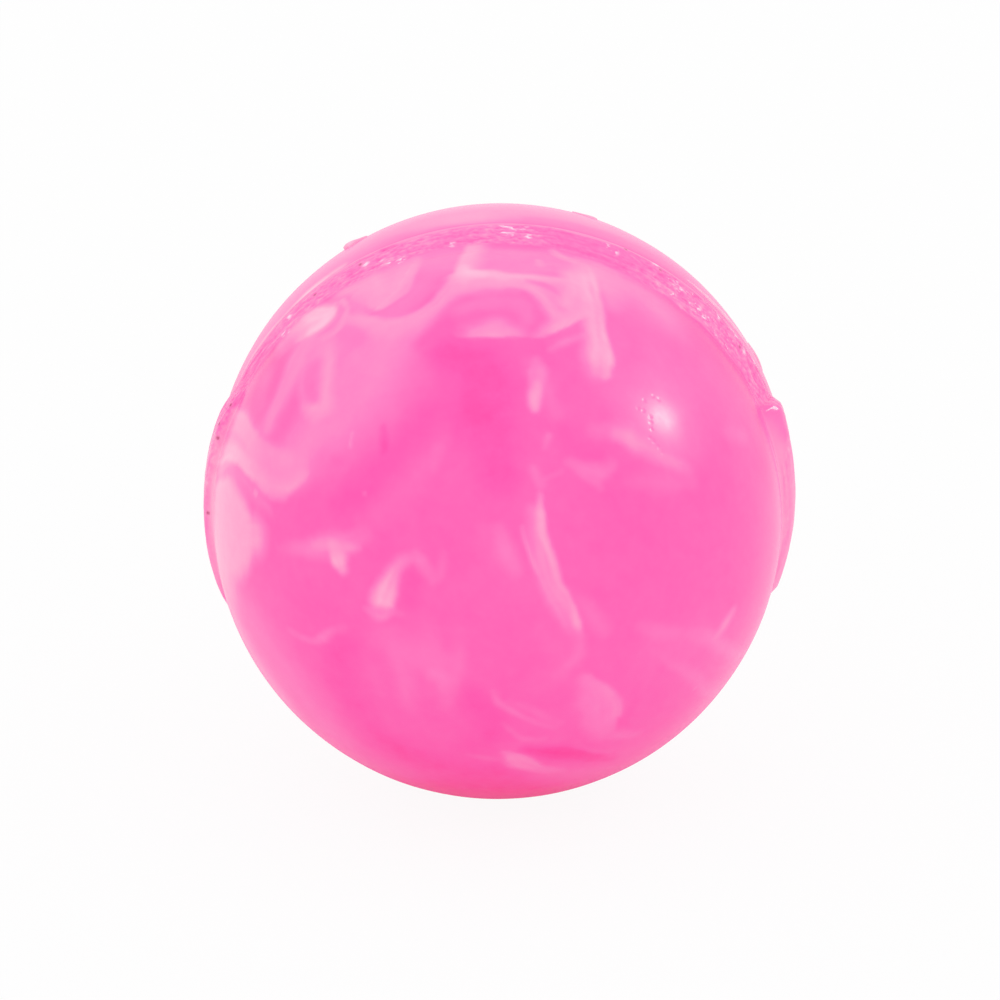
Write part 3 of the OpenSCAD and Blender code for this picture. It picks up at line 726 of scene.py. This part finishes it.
def brush_tree():
    tree, board, given = new_tree("marble_brush", {
        "Strokes": "Object", "Stroke count": "Int", "Ground tone": "Float", "Wander": "Float",
        "Wander size": "Float", "Pits": "Object", "Pit depth": "Float", "Pit radius": "Float",
        "Wave": "Float", "Wave size": "Float", "Fibre": "Float", "Fibre size": "Float",
        "Fibre stretch": "Float", "Smooth from": "Float", "Material": "Material",
    })
    position = board.node("GeometryNodeInputPosition")
    wander = board.noise(position, given["Wander size"], detail=5.0, out="Color")
    drift = board.vector("SUBTRACT", wander, (0.5, 0.5, 0.5))
    brush = board.vector("ADD", position, board.scaled(drift, given["Wander"]))
    skin = stored(board, given["Geometry"], "brush", brush, "FLOAT_VECTOR")
    skin = stored(board, skin, "paleness", given["Ground tone"])

    strokes = board.node("GeometryNodeObjectInfo", {}, {"Object": given["Strokes"]}, "Geometry")
    first = tree.nodes.new("GeometryNodeRepeatInput")
    last = tree.nodes.new("GeometryNodeRepeatOutput")
    first.pair_with_output(last)
    board.plug(given["Stroke count"], first.inputs["Iterations"])
    board.plug(skin, first.inputs["Geometry"])
    turn = Wire(board, first.outputs["Iteration"])
    mine = board.node("FunctionNodeCompare", {"data_type": "INT", "operation": "EQUAL"},
                      {"A_INT": named(board, "stroke", "INT"), "B_INT": turn})
    stroke = board.node("GeometryNodeSeparateGeometry", {"domain": "POINT"}, {0: strokes, 1: mine})
    here = named(board, "brush", "FLOAT_VECTOR")
    nearest = board.node("GeometryNodeSampleNearest", {"domain": "POINT"},
                         {"Geometry": stroke, "Sample Position": here})

    def read(value, kind="FLOAT"):
        return board.node("GeometryNodeSampleIndex", {"data_type": kind, "domain": "POINT"},
                          {"Geometry": stroke, "Value": value, "Index": nearest})

    spot = read(board.node("GeometryNodeInputPosition"), "FLOAT_VECTOR")
    distance = board.vector("DISTANCE", here, spot, "Value")
    away = board.vector("SUBTRACT", here, spot)
    aside = board.node("ShaderNodeVectorMath", {"operation": "NORMALIZE"}, {0: away})
    leftward = read(named(board, "left", "FLOAT_VECTOR"), "FLOAT_VECTOR")
    lean = board.vector("DOT_PRODUCT", aside, leftward, "Value")
    right, left = read(named(board, "soft_right")), read(named(board, "soft_left"))
    soft = board.ease(lean, -0.5, 0.5, right, left) * 0.5
    width = read(named(board, "half_width"))
    start = width.math("MAXIMUM", width - soft, 0.0)
    cover = board.ease(distance, start, width + soft, 1.0, 0.0) * read(named(board, "pressure"))
    sideways = board.scaled(leftward, distance * lean * given["Fibre stretch"])
    strand = board.vector("ADD", spot, sideways)
    fibre = board.swing(strand, given["Fibre size"]) * given["Fibre"]
    smooth_from = given["Smooth from"]
    stranded = board.ease(soft, smooth_from * FIBRE_FADE, smooth_from, 1.0, 0.0)
    cover = cover * (1 + fibre * stranded)
    before = named(board, "paleness")
    after = before + (read(named(board, "tone")) - before) * cover
    board.plug(stored(board, Wire(board, first.outputs["Geometry"]), "paleness", after),
               last.inputs["Geometry"])
    painted = Wire(board, last.outputs["Geometry"])

    dent = nearness(board, given["Pits"], given["Pit radius"]) * given["Pit depth"]
    lift = board.swing(position, given["Wave size"], detail=1.0) * given["Wave"] - dent
    end_tree(board, painted, lift, given["Material"])
    return tree


marble_brush = brush_tree()
print("nodes in the brush tree:", len(marble_brush.nodes))

# %% [markdown]
# ## Marbled rubber
#
# The paleness that the brush leaves on the skin picks the colour. Fine cloudy noise through the
# volume breaks up the flat tones, as the folded compounds do. Moulded rubber has a satin skin with
# a faint grain, so the roughness and a small bump vary too. The pink is a fluorescent pigment,
# which gives back more red than falls on it. A little glow in the material stands partly for that
# and is partly painted light, which keeps the red bright where little light falls.

# %% Marbled rubber material
TONES = [
    (0.00, srgb(255, 60, 162)),
    (0.13, srgb(255, 92, 183)),
    (0.45, srgb(255, 131, 200)),
    (0.71, srgb(255, 164, 209)),
    (0.92, srgb(255, 191, 221)),
    (1.00, srgb(255, 201, 227)),
]
# Painted light: a constant glow that keeps the red bright where little light falls, partly
# standing for the fluorescent pigment
PAINTED_GLOW_COLOUR = srgb(255, 0, 120)
PAINTED_GLOW_LEVEL = 0.12
RUBBER_SPECULAR = 0.3
CLOUD_SIZE, CLOUD_SHARE = 4 * MM, 0.16
WISP_SIZE, WISP_SHARE = 0.8 * MM, 0.1
SKIN_GRAIN = 0.25 * MM
SKIN_ROUGHNESS, ROUGHNESS_SHARE = 0.24, 0.08
SKIN_BUMP, SKIN_DEPTH = 0.06, 0.02 * MM


def rubber_shader(name):
    """A material with a principled shader, its board and its object coordinates."""
    material = bpy.data.materials.new(name)
    material.use_nodes = True
    board = Board(material.node_tree)
    shader = material.node_tree.nodes["Principled BSDF"]
    shader.inputs["Specular IOR Level"].default_value = RUBBER_SPECULAR
    # Painted glow, partly fluorescence and partly light that keeps the red bright in the shade
    shader.inputs["Emission Color"].default_value = PAINTED_GLOW_COLOUR
    shader.inputs["Emission Strength"].default_value = PAINTED_GLOW_LEVEL
    return material, board, shader, board.node("ShaderNodeTexCoord", out="Object")


def wire_rubber(board, shader, colour, roughness, height, strength, depth):
    """Plugs a colour, a roughness and a bump of the given height into the shader."""
    sockets = {"Height": height, "Strength": strength, "Distance": depth}
    bump = board.node("ShaderNodeBump", {}, sockets)
    for label, value in {"Base Color": colour, "Roughness": roughness, "Normal": bump}.items():
        board.plug(value, shader.inputs[label])


def marbled_rubber():
    material, board, shader, place = rubber_shader("marbled_rubber")
    paleness = board.node("ShaderNodeAttribute", {"attribute_name": "paleness"}, out="Fac")
    cloud = board.swing(place, CLOUD_SIZE, detail=4.0, roughness=0.6)
    wisp = board.swing(place, WISP_SIZE, detail=3.0, roughness=0.6)
    tone = paleness + cloud * CLOUD_SHARE + wisp * WISP_SHARE
    colour = board.node("ShaderNodeValToRGB", {"stops": TONES}, {"Fac": tone}, "Color")
    grain = board.swing(place, SKIN_GRAIN, detail=3.0)
    roughness = SKIN_ROUGHNESS + wisp * ROUGHNESS_SHARE + grain * ROUGHNESS_SHARE
    wire_rubber(board, shader, colour, roughness, grain, SKIN_BUMP, SKIN_DEPTH)
    return material


MARBLED = marbled_rubber()
print("material:", MARBLED.name)

# %% [markdown]
# ## The two halves
#
# Each half is an icosphere cut at its equator, because its points lie evenly all over and leave no
# pinched pole. The skin at the highlight gets finer faces, so that the pits there are real dents.
# The flat side is closed, and the brush tree then paints and moulds the skin.

# %% Half ball meshes
DOME_LEVEL = 8
EQUATOR_SLACK = 1e-6
# Places of the pits on the map of the front half
PITS = [
    (36.6, 41.4), (36.5, 40.2), (36.4, 38.8), (35.7, 36.8), (36.6, 36), (33.7, 43.6), (34.9, 43),
    (35.6, 45.2), (38.2, 46), (39.6, 45.2), (37.6, 34.6), (38.4, 33.4),
]
PIT_PATCH = 1.6 * MM
PIT_CUTS = 2


def half_ball(name, centre, radius, pole_y, fine_spots):
    """A closed half ball with its pole along Y, and finer faces around the given spots."""
    bm = bmesh.new()
    bmesh.ops.create_icosphere(bm, subdivisions=DOME_LEVEL, radius=radius)
    beyond = [vert for vert in bm.verts if vert.co.z > EQUATOR_SLACK]
    bmesh.ops.delete(bm, geom=beyond, context="VERTS")
    for vert in bm.verts:
        x, y, z = vert.co
        vert.co = Vector((x, z, -y)) if pole_y < 0 else Vector((-x, -z, -y))
    offset = Vector(centre)

    def in_patch(vert):
        return any((vert.co + offset - spot).length < PIT_PATCH for spot in fine_spots)

    for _ in range(PIT_CUTS):
        close = [edge for edge in bm.edges if in_patch(edge.verts[0])]
        if close:
            bmesh.ops.subdivide_edges(bm, edges=close, cuts=1)
    for vert in bm.verts:
        vert.co = vert.co.normalized() * radius + offset
    rim = [edge for edge in bm.edges if edge.is_boundary]
    bmesh.ops.holes_fill(bm, edges=rim, sides=0)
    for edge in rim:
        edge.smooth = False
    bmesh.ops.triangulate(bm, faces=[face for face in bm.faces if len(face.verts) == 4])
    bmesh.ops.recalc_face_normals(bm, faces=bm.faces)
    mesh = bpy.data.meshes.new(name)
    bm.to_mesh(mesh)
    bm.free()
    return mesh


def run_tree(piece, tree, inputs):
    """Runs a tree on a piece, keeps its result as a plain mesh and drops the modifier."""
    modifier = piece.modifiers.new(tree.name, "NODES")
    modifier.node_group = tree
    labels = {item.name: item.identifier for item in tree.interface.items_tree
              if item.in_out == "INPUT"}
    for label, value in inputs.items():
        modifier[labels[label]] = value
    depsgraph = bpy.context.evaluated_depsgraph_get()
    made = bpy.data.meshes.new_from_object(piece.evaluated_get(depsgraph), depsgraph=depsgraph,
                                           preserve_all_data_layers=True)
    piece.modifiers.remove(modifier)
    piece.data = made
    made.name = piece.name


pit_directions = turned_about_z(map_direction(*np.array(PITS, float).T), MARBLE_TURN)
pit_spots = front_centre + front_r * pit_directions
pit_cloud = point_cloud("pits", pit_spots)

BRUSH = {
    "Ground tone": GROUND_TONE, "Wander": 0.7 * MM, "Wander size": 2.5 * MM, "Pits": pit_cloud,
    "Pit depth": 0.014 * MM, "Pit radius": 0.13 * MM, "Wave": 0.05 * MM, "Wave size": 5 * MM,
    "Fibre": 1.2, "Fibre size": 3 * MM, "Fibre stretch": 6.0, "Smooth from": 1 * MM,
    "Material": MARBLED,
}
FRONT_BRUSH = {**BRUSH, "Strokes": front_cloud, "Stroke count": len(FRONT_STROKES)}
REAR_BRUSH = {**BRUSH, "Strokes": rear_cloud, "Stroke count": len(REAR_STROKES)}
fine_spots = [Vector(spot) for spot in pit_spots]
front_mesh = half_ball("front", front_centre, front_r, -1, fine_spots)
rear_mesh = half_ball("rear", rear_centre, rear_r, 1, [])
front_dome = in_scene("front_half_marbled", front_mesh)
rear_dome = in_scene("rear_half_marbled", rear_mesh)
run_tree(front_dome, marble_brush, FRONT_BRUSH)
run_tree(rear_dome, marble_brush, REAR_BRUSH)
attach(front_dome, "root")
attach(rear_dome, "root")
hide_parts(*FRONT_NODES)
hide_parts(*REAR_NODES)
print("faces of the halves:", len(front_dome.data.polygons), len(rear_dome.data.polygons))

# %% [markdown]
# ## The trimmed seam
#
# The blade cut the web almost flush, so its edge is a band that runs from the rim of one half to
# the rim of the other. The flash tabs are the same band where the blade missed: they rise from the
# front rim in a slope and end in a higher edge. The bands are swept around the seam here and torn
# by a tree afterwards. Short lists of angles say how the blade went, because hand trimming follows
# no rule.

# %% How the blade went
# Angle around the seam from the right side upwards, tone of the cut rubber, how ragged the cut is,
# and how far in front of the seam's middle it reaches, in millimetres
CUTS = [
    (0, 0.66, 0.2, 0.8), (8, 0.66, 0.3, 0.7), (14, 0.66, 0.5, 0), (20, 0.60, 0.8, 0),
    (24, 0.42, 1, 0.5), (30, 0.39, 1, 0.7), (38, 0.44, 1, 0.7), (45, 0.50, 1, 0.7),
    (52, 0.55, 1, 0.7), (60, 0.42, 0.7, 0.7), (68, 0.34, 0.3, 0.6), (76, 0.34, 0.3, 0.5),
    (84, 0.46, 0.9, 0.4), (90, 0.46, 0.9, 0.4), (98, 0.46, 0.6, 0.4), (108, 0.46, 0.8, 0.4),
    (116, 0.46, 1, 0.5), (124, 0.48, 0.8, 0.5), (132, 0.52, 0.8, 0.5), (140, 0.42, 0.7, 0.5),
    (147, 0.28, 0.4, 0.5), (154, 0.30, 0.7, 0.8), (160, 0.44, 1, 0.8), (166, 0.56, 1, 0.8),
    (172, 0.66, 0.8, 0.8), (180, 0.64, 0.3, 0.8), (195, 0.58, 0.2, 0.8), (215, 0.40, 0.4, 0.5),
    (270, 0.20, 0.5, 0.4), (325, 0.40, 0.4, 0.5), (340, 0.62, 0.2, 0.8), (360, 0.66, 0.2, 0.8),
]
# Angle around the seam, and height above the trimmed web in millimetres
LEFT_TAB = [
    (150, -0.5), (154, -0.1), (157, 0.06), (161, 0.22), (166, 0.26), (172, 0.28), (180, 0.30),
    (184, 0.30), (190, 0.29), (196, 0.26), (199, 0.20), (201, 0.12), (205, -0.5),
]
RIGHT_TAB = [
    (-24.6, -0.5), (-21.4, 0), (-18.6, 0.27), (-12, 0.3), (-6, 0.32), (0, 0.34), (6, 0.36),
    (12, 0.40), (17, 0.46), (19.5, 0.46), (21, 0.22), (22.5, -0.5),
]


def on_list(table, angles, column=1):
    """Value of a column at each angle, from a table that starts with angles."""
    table = np.array(table)
    return np.interp(np.degrees(angles), table[:, 0], table[:, column])


def rim_r(angles, centre, radius):
    """Distance from the seam's middle to a half's rim, in the direction of each angle."""
    ahead = centre[0] * np.cos(angles) + centre[2] * np.sin(angles)
    return ahead + np.sqrt(radius ** 2 - centre[0] ** 2 - centre[2] ** 2 + ahead ** 2)


print("cut listed at", len(CUTS), "angles")

# %% Ring meshes
RING_STEP = 0.07 * MM
EDGE_ROWS = 36
SIDE_ROWS = 4
ROOT_DEPTH = 0.9 * MM
REAR_STEP = -0.01 * MM
LEFT_SLOPE = 0.5 * MM
RIGHT_SLOPE = 1.2 * MM
TAB_ROUNDING = 0.12 * MM
ROUNDING_POWER = 6
ACROSS = np.linspace(-1, 1, EDGE_ROWS)


def ease_up(share):
    share = np.clip(share, 0, 1)
    return share ** 2 * (3 - 2 * share)


def flush_band(angles):
    """Outer radius of the trimmed web, for each angle and each row across."""
    front = rim_r(angles, front_centre, front_r)[:, None]
    rear = rim_r(angles, rear_centre, rear_r)[:, None] - REAR_STEP
    return front + (rear - front) * ease_up((ACROSS + 1) / 2)


def tab_band(heights, slope):
    """The same for a tab, which rises from the front rim within the width of its slope."""
    def band(angles):
        front = rim_r(angles, front_centre, front_r)[:, None]
        crest = web_r + on_list(heights, angles)[:, None] * MM
        rise = ease_up((ACROSS + 1) * web_t / 2 / slope)
        rounding = TAB_ROUNDING * np.clip(ACROSS, 0, 1) ** ROUNDING_POWER
        return front + (crest - front) * rise - rounding
    return band


def tube_faces(count, rows, closed):
    """Faces of a tube of point rows, with its ends capped unless it closes on itself."""
    faces = [(i * rows + k, i * rows + (k + 1) % rows,
              (i + 1) % count * rows + (k + 1) % rows, (i + 1) % count * rows + k)
             for i in range(count if closed else count - 1) for k in range(rows)]
    if not closed:
        faces += [tuple(range(rows - 1, -1, -1)), tuple(range((count - 1) * rows, count * rows))]
    return faces


def swept_ring(name, start, span, band):
    """A ring, or a stretch of one, whose outer rows follow the band."""
    closed = span >= 360
    count = round(math.radians(span) * web_r / RING_STEP)
    angles = np.radians(start + span * np.linspace(0, 1, count, endpoint=not closed))
    edge = band(angles)
    depth = np.linspace(1, 0, SIDE_ROWS, endpoint=False) * ROOT_DEPTH
    radius = np.hstack([edge[:, :1] - depth, edge, edge[:, -1:] - depth[::-1]])
    across = np.concatenate([np.full(SIDE_ROWS, -1), ACROSS, np.full(SIDE_ROWS, 1)])
    rows = len(across)
    y = np.broadcast_to(across * web_t / 2, radius.shape)
    cos, sin = np.cos(angles)[:, None], np.sin(angles)[:, None]
    spots = np.stack([radius * cos, y, radius * sin], axis=-1)
    mesh = bpy.data.meshes.new(name)
    mesh.from_pydata(spots.reshape(-1, 3).tolist(), [], tube_faces(count, rows, closed))
    on_edge = np.concatenate([np.zeros(SIDE_ROWS), np.ones(EDGE_ROWS), np.zeros(SIDE_ROWS)])
    write_facts(mesh, {
        "along": np.repeat(angles * web_r, rows),
        "across": y.ravel(),
        "on_edge": np.tile(on_edge, count),
        "cut_tone": np.repeat(on_list(CUTS, angles % math.tau), rows),
        "ragged": np.repeat(on_list(CUTS, angles % math.tau, 2), rows),
        "reach": np.repeat(on_list(CUTS, angles % math.tau, 3) * MM, rows),
    })
    clean = bmesh.new()
    clean.from_mesh(mesh)
    bmesh.ops.recalc_face_normals(clean, faces=clean.faces)
    corners = {SIDE_ROWS, SIDE_ROWS + EDGE_ROWS - 1}
    for line in clean.edges:
        first, second = (vert.index % rows for vert in line.verts)
        line.smooth = not (first == second and first in corners)
    clean.to_mesh(mesh)
    clean.free()
    return in_scene(name, mesh)


def tab_ring(name, heights, slope):
    start, end = heights[0][0], heights[-1][0]
    return swept_ring(name, start, end - start, tab_band(heights, slope))


web_edge = swept_ring("seam_web_torn", 0, 360, flush_band)
left_tab = tab_ring("left_flash_tab_torn", LEFT_TAB, LEFT_SLOPE)
right_tab = tab_ring("right_flash_tab_torn", RIGHT_TAB, RIGHT_SLOPE)
print("faces of the ring:", len(web_edge.data.polygons))

# %% [markdown]
# ## Tearing the edge
#
# The marbling runs on over the front rim, so the brush paints the bands first. A second tree then
# tears the part that the blade reached, between two borders that wander. A blade that drags
# through soft rubber leaves grains where it tears and fine grooves where it slides. Both are noise
# that lifts the skin along its normal, drawn out along the cut, the second much more. The lift is
# kept as a tone as well, as painted light and shade: high grains are painted pale and the pits
# between them deep pink.

# %% Tear tree
# The smaller the share of the way along the cut that the noise sees, the longer it is drawn out
GRAIN_PULL = 0.45
GROOVE_PULL = 0.05
BORDER_SIZE = 1.5 * MM
FRONT_FADE = 0.15 * MM
REAR_FADE = 0.05 * MM
# Painted light and shade: how much the lift makes high places paler and low places deeper
GRAIN_SHADE = 0.8
GROOVE_SHADE = 0.6
SCOOP_SHADE = 0.2


def drawn_out(board, along, across, share):
    """A place on the band, squeezed along the cut, so that noise read there is drawn out."""
    return board.node("ShaderNodeCombineXYZ", {}, {"X": along * share, "Y": across, "Z": 0.0})


def tear_tree():
    tree, board, given = new_tree("torn_edge", {
        "Rear border": "Float", "Border wander": "Float", "Grain size": "Float",
        "Grain depth": "Float", "Groove size": "Float", "Groove depth": "Float",
        "Scoop size": "Float", "Scoop depth": "Float", "Rear tone": "Float", "Specks": "Object",
        "Speck radius": "Float", "Glints": "Object", "Glint radius": "Float",
        "Material": "Material",
    })
    position = board.node("GeometryNodeInputPosition")

    def noise(place, size):
        return board.swing(place, size, roughness=0.6)

    along, across = named(board, "along"), named(board, "across")
    grain = noise(drawn_out(board, along, across, GRAIN_PULL), given["Grain size"])
    groove = noise(drawn_out(board, along, across, GROOVE_PULL), given["Groove size"])
    scoop = noise(position, given["Scoop size"])
    line = across + noise(position, BORDER_SIZE) * given["Border wander"]
    rear = given["Rear border"]
    cut = board.ease(line + named(board, "reach"), -FRONT_FADE, FRONT_FADE, 0.0, 1.0)
    behind = board.ease(line, rear - REAR_FADE, rear + REAR_FADE, 0.0, 1.0)
    torn = cut * (1 - behind)
    ragged = torn * named(board, "ragged")
    marbled = named(board, "paleness")
    # Painted light and shade on the cut: the tone follows the lift, pale on high grains, deep pink
    # in the pits
    struck = (named(board, "cut_tone") + grain * ragged * GRAIN_SHADE + groove * GROOVE_SHADE
              + scoop * SCOOP_SHADE)
    tone = marbled + (struck - marbled) * cut
    tone = tone + (given["Rear tone"] - tone) * behind
    slid = groove * given["Groove depth"] + scoop * given["Scoop depth"]
    lift = grain * ragged * given["Grain depth"] + slid * torn
    edge = stored(board, given["Geometry"], "paleness", tone)
    edge = stored(board, edge, "torn", ragged)
    edge = stored(board, edge, "speck", nearness(board, given["Specks"], given["Speck radius"]))
    edge = stored(board, edge, "glint", nearness(board, given["Glints"], given["Glint radius"]))
    end_tree(board, edge, lift * named(board, "on_edge"), given["Material"])
    return tree


torn_edge = tear_tree()
print("nodes in the tear tree:", len(torn_edge.nodes))

# %% Torn rubber material
SPECK_COLOUR = srgb(165, 45, 85)
# Painted highlight: the white of the glints on the torn rubber
PAINTED_GLINT_COLOUR = srgb(252, 232, 250)
GLINT_FROM, GLINT_TO = 0.5, 0.6
CRINKLE_SIZE = 0.2 * MM
TORN_GRAIN, TORN_GRAIN_SHADE_SHARE = 0.14 * MM, 0.55
TORN_CLOUD, TORN_CLOUD_SHARE = 1.4 * MM, 0.14
TORN_ROUGHNESS, TORN_ROUGHNESS_SHARE = 0.21, 0.2
TORN_BUMP, TORN_DEPTH = 0.6, 0.06 * MM


def torn_rubber():
    material, board, shader, place = rubber_shader("torn_rubber")

    def fact(label):
        return board.node("ShaderNodeAttribute", {"attribute_name": label}, out="Fac")

    pulled = drawn_out(board, fact("along"), fact("across"), GRAIN_PULL)
    grain = board.noise(pulled, TORN_GRAIN, roughness=0.6)
    crinkle = board.noise(pulled, CRINKLE_SIZE, detail=1.0)
    cloud = board.swing(place, TORN_CLOUD, detail=3.0)
    torn = fact("torn")
    # Painted light and shade: the grain that raises the bump also makes its high places paler
    tone = fact("paleness") + (grain - 0.5) * torn * TORN_GRAIN_SHADE_SHARE + cloud * TORN_CLOUD_SHARE
    colour = board.node("ShaderNodeValToRGB", {"stops": TONES}, {"Fac": tone}, "Color")
    # Painted glints: white spots in the crinkles near the glint points
    glint = fact("glint") * board.ease(crinkle, GLINT_FROM, GLINT_TO, 0.0, 1.0)
    for share, tint in ((glint, PAINTED_GLINT_COLOUR), (fact("speck"), SPECK_COLOUR)):
        sockets = {"Factor_Float": share, "A_Color": colour, "B_Color": tint}
        colour = board.node("ShaderNodeMix", {"data_type": "RGBA"}, sockets, "Result_Color")
    roughness = TORN_ROUGHNESS + (grain - 0.5) * torn * TORN_ROUGHNESS_SHARE
    wire_rubber(board, shader, colour, roughness, grain * torn, TORN_BUMP, TORN_DEPTH)
    return material


TORN = torn_rubber()
print("material:", TORN.name)

# %% Torn web and tabs
# Specks of grit that the cut picked up: angle around the seam and place across it in millimetres
SPECKS = [
    (157.2, -0.55), (161.8, -0.5), (164.4, -0.7), (180.5, -0.74), (129.5, 0.4), (118.5, 0.45),
    (64.5, 0.9), (56.7, 0.7), (34.2, 0.45), (27.2, 0.9), (301, -0.3), (262, 0.5), (228, 0.1),
]
# Places of painted glints: white spots painted on the torn rubber where it catches the lamp
GLINTS = [
    (89.6, 0.6), (89, 0.3), (88.6, 0.7), (88, 0.4), (87.4, 0.6), (86.8, 0.2), (86.2, 0.5),
    (85, 0.7), (84.2, 0.1), (114, -0.1), (112.5, -0.4), (111.2, -0.5), (110, -0.4), (117.4, 0.3),
    (99.5, -0.2), (138.8, -0.4), (138, -0.5), (136.5, 0.45), (68.5, 0.6), (66.6, 0.4), (57.8, 0.9),
    (53, 0.7), (52, 0.4), (50.5, 0.4), (46.6, 0.1), (45.6, 0), (44.6, -0.1), (41.5, 0.7),
    (39.8, 0.9), (37.4, 0.9), (36, 0.7), (33, 0.5), (29.5, 0.9), (240, 0.3), (282, -0.2),
    (310, 0.4),
]


def seam_points(name, places):
    """Loose points on the trimmed web, or on a tab where it stands higher."""
    angle, across = np.radians(places)[:, 0], np.array(places)[:, 1] * MM
    share = across / web_t + 0.5
    front = rim_r(angle, front_centre, front_r)
    radius = (1 - share) * front + share * rim_r(angle, rear_centre, rear_r)
    for heights, slope in ((LEFT_TAB, LEFT_SLOPE), (RIGHT_TAB, RIGHT_SLOPE)):
        crest = web_r + on_list(heights, angle) * MM
        radius = np.maximum(radius, front + (crest - front) * ease_up(share * web_t / slope))
    spots = np.stack([radius * np.cos(angle), across, radius * np.sin(angle)], axis=-1)
    return point_cloud(name, spots)


speck_cloud = seam_points("specks", SPECKS)
glint_cloud = seam_points("glints", GLINTS)
TEAR = {
    "Rear border": 0.85 * MM, "Border wander": 0.5 * MM, "Grain size": 0.28 * MM,
    "Grain depth": 0.14 * MM, "Groove size": 0.25 * MM, "Groove depth": 0.05 * MM,
    "Scoop size": 2.4 * MM, "Scoop depth": 0.1 * MM, "Rear tone": 0.58, "Specks": speck_cloud,
    "Speck radius": 0.15 * MM, "Glints": glint_cloud, "Glint radius": 0.3 * MM, "Material": TORN,
}
TAB_TEAR = {
    **TEAR, "Border wander": 0.2 * MM, "Rear border": 1.2 * MM, "Grain depth": 0.1 * MM,
    "Scoop depth": 0.05 * MM,
}
for piece, node, tear in ((web_edge, "seam_web", TEAR), (left_tab, "left_flash_tab", TAB_TEAR),
                          (right_tab, "right_flash_tab", TAB_TEAR)):
    run_tree(piece, marble_brush, FRONT_BRUSH)
    run_tree(piece, torn_edge, tear)
    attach(piece, "root")
    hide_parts(node)
    print(piece.name, "faces:", len(piece.data.polygons))

# %% [markdown]
# ## Crumbs of cut flash
#
# Slivers of cut flash stick to the rear half near the outline. Each is a flat lens that follows a
# short stroke on the rear map, sunk a little into the skin, and torn by the same tree.

# %% Trim crumbs
# Height in millimetres, and a stroke on the rear map
CRUMBS = [
    (0.23, [(-41.2, 60.3, 0.4), (-40.2, 60.8, 1), (-38.8, 61.5, 0.9), (-37, 62.4, 0.4),
        (-35, 63.4, 0.1)]),
    (0.11, [(19, 68, 0.2), (22, 67.8, 0.4), (24.5, 67.3, 0.5), (25.6, 67, 0.2)]),
    (0.14, [(69.5, 38, 0.3), (72, 34, 1), (74, 30, 0.3)]),
    (0.09, [(56, 66, 0.3), (62, 60.5, 1), (67, 55, 1.3), (71, 49.5, 1.2), (75, 43, 0.4)]),
]
CRUMB_RING = 14
CRUMB_SUNK = 0.5
CRUMB_DROP = 0.03 * MM


def crumb_lens(height, points):
    """Vertices and faces of one flat lens along a stroke on the rear half."""
    row = smooth_row(points, STROKE_STEP)
    outward = map_direction(row[:, 0], row[:, 1]) * MIRROR_Y
    centre = rear_centre + (rear_r - CRUMB_DROP) * outward
    sideways = unit(np.cross(outward, np.gradient(centre, axis=0)))
    half_width = np.radians(row[:, 2]) * rear_r
    rise = height * MM * np.sqrt(row[:, 2] / row[:, 2].max())
    turns = np.linspace(0, 2 * math.pi, CRUMB_RING, endpoint=False)
    wide, high = np.cos(turns), np.sin(turns)
    high = np.where(high < 0, high * CRUMB_SUNK, high)
    spots = (centre[:, None] + sideways[:, None] * (half_width[:, None] * wide)[..., None]
             + outward[:, None] * (rise[:, None] * high)[..., None])
    return spots.reshape(-1, 3), tube_faces(len(row), CRUMB_RING, closed=False)


crumb_bm = bmesh.new()
for height, points in CRUMBS:
    spots, faces = crumb_lens(height, points)
    verts = [crumb_bm.verts.new(spot) for spot in spots]
    for face in faces:
        crumb_bm.faces.new([verts[index] for index in face])
bmesh.ops.recalc_face_normals(crumb_bm, faces=crumb_bm.faces)
crumb_mesh = bpy.data.meshes.new("trim_crumbs_torn")
crumb_bm.to_mesh(crumb_mesh)
crumb_bm.free()
sideways = np.array([vert.co.x for vert in crumb_mesh.vertices])
facts = {"along": sideways, "across": 0, "on_edge": 1, "cut_tone": 0.9, "ragged": 0.6, "reach": MM}
write_facts(crumb_mesh, {label: np.broadcast_to(value, sideways.shape).astype(float)
                         for label, value in facts.items()})
crumbs = in_scene("trim_crumbs_torn", crumb_mesh)
run_tree(crumbs, torn_edge, {**TAB_TEAR, "Scoop depth": 0.0})
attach(crumbs, "root")
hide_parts("trim_crumbs")
for helper in (front_cloud, rear_cloud, pit_cloud, speck_cloud, glint_cloud):
    bpy.data.objects.remove(helper)
print("faces of the crumbs:", len(crumbs.data.polygons))
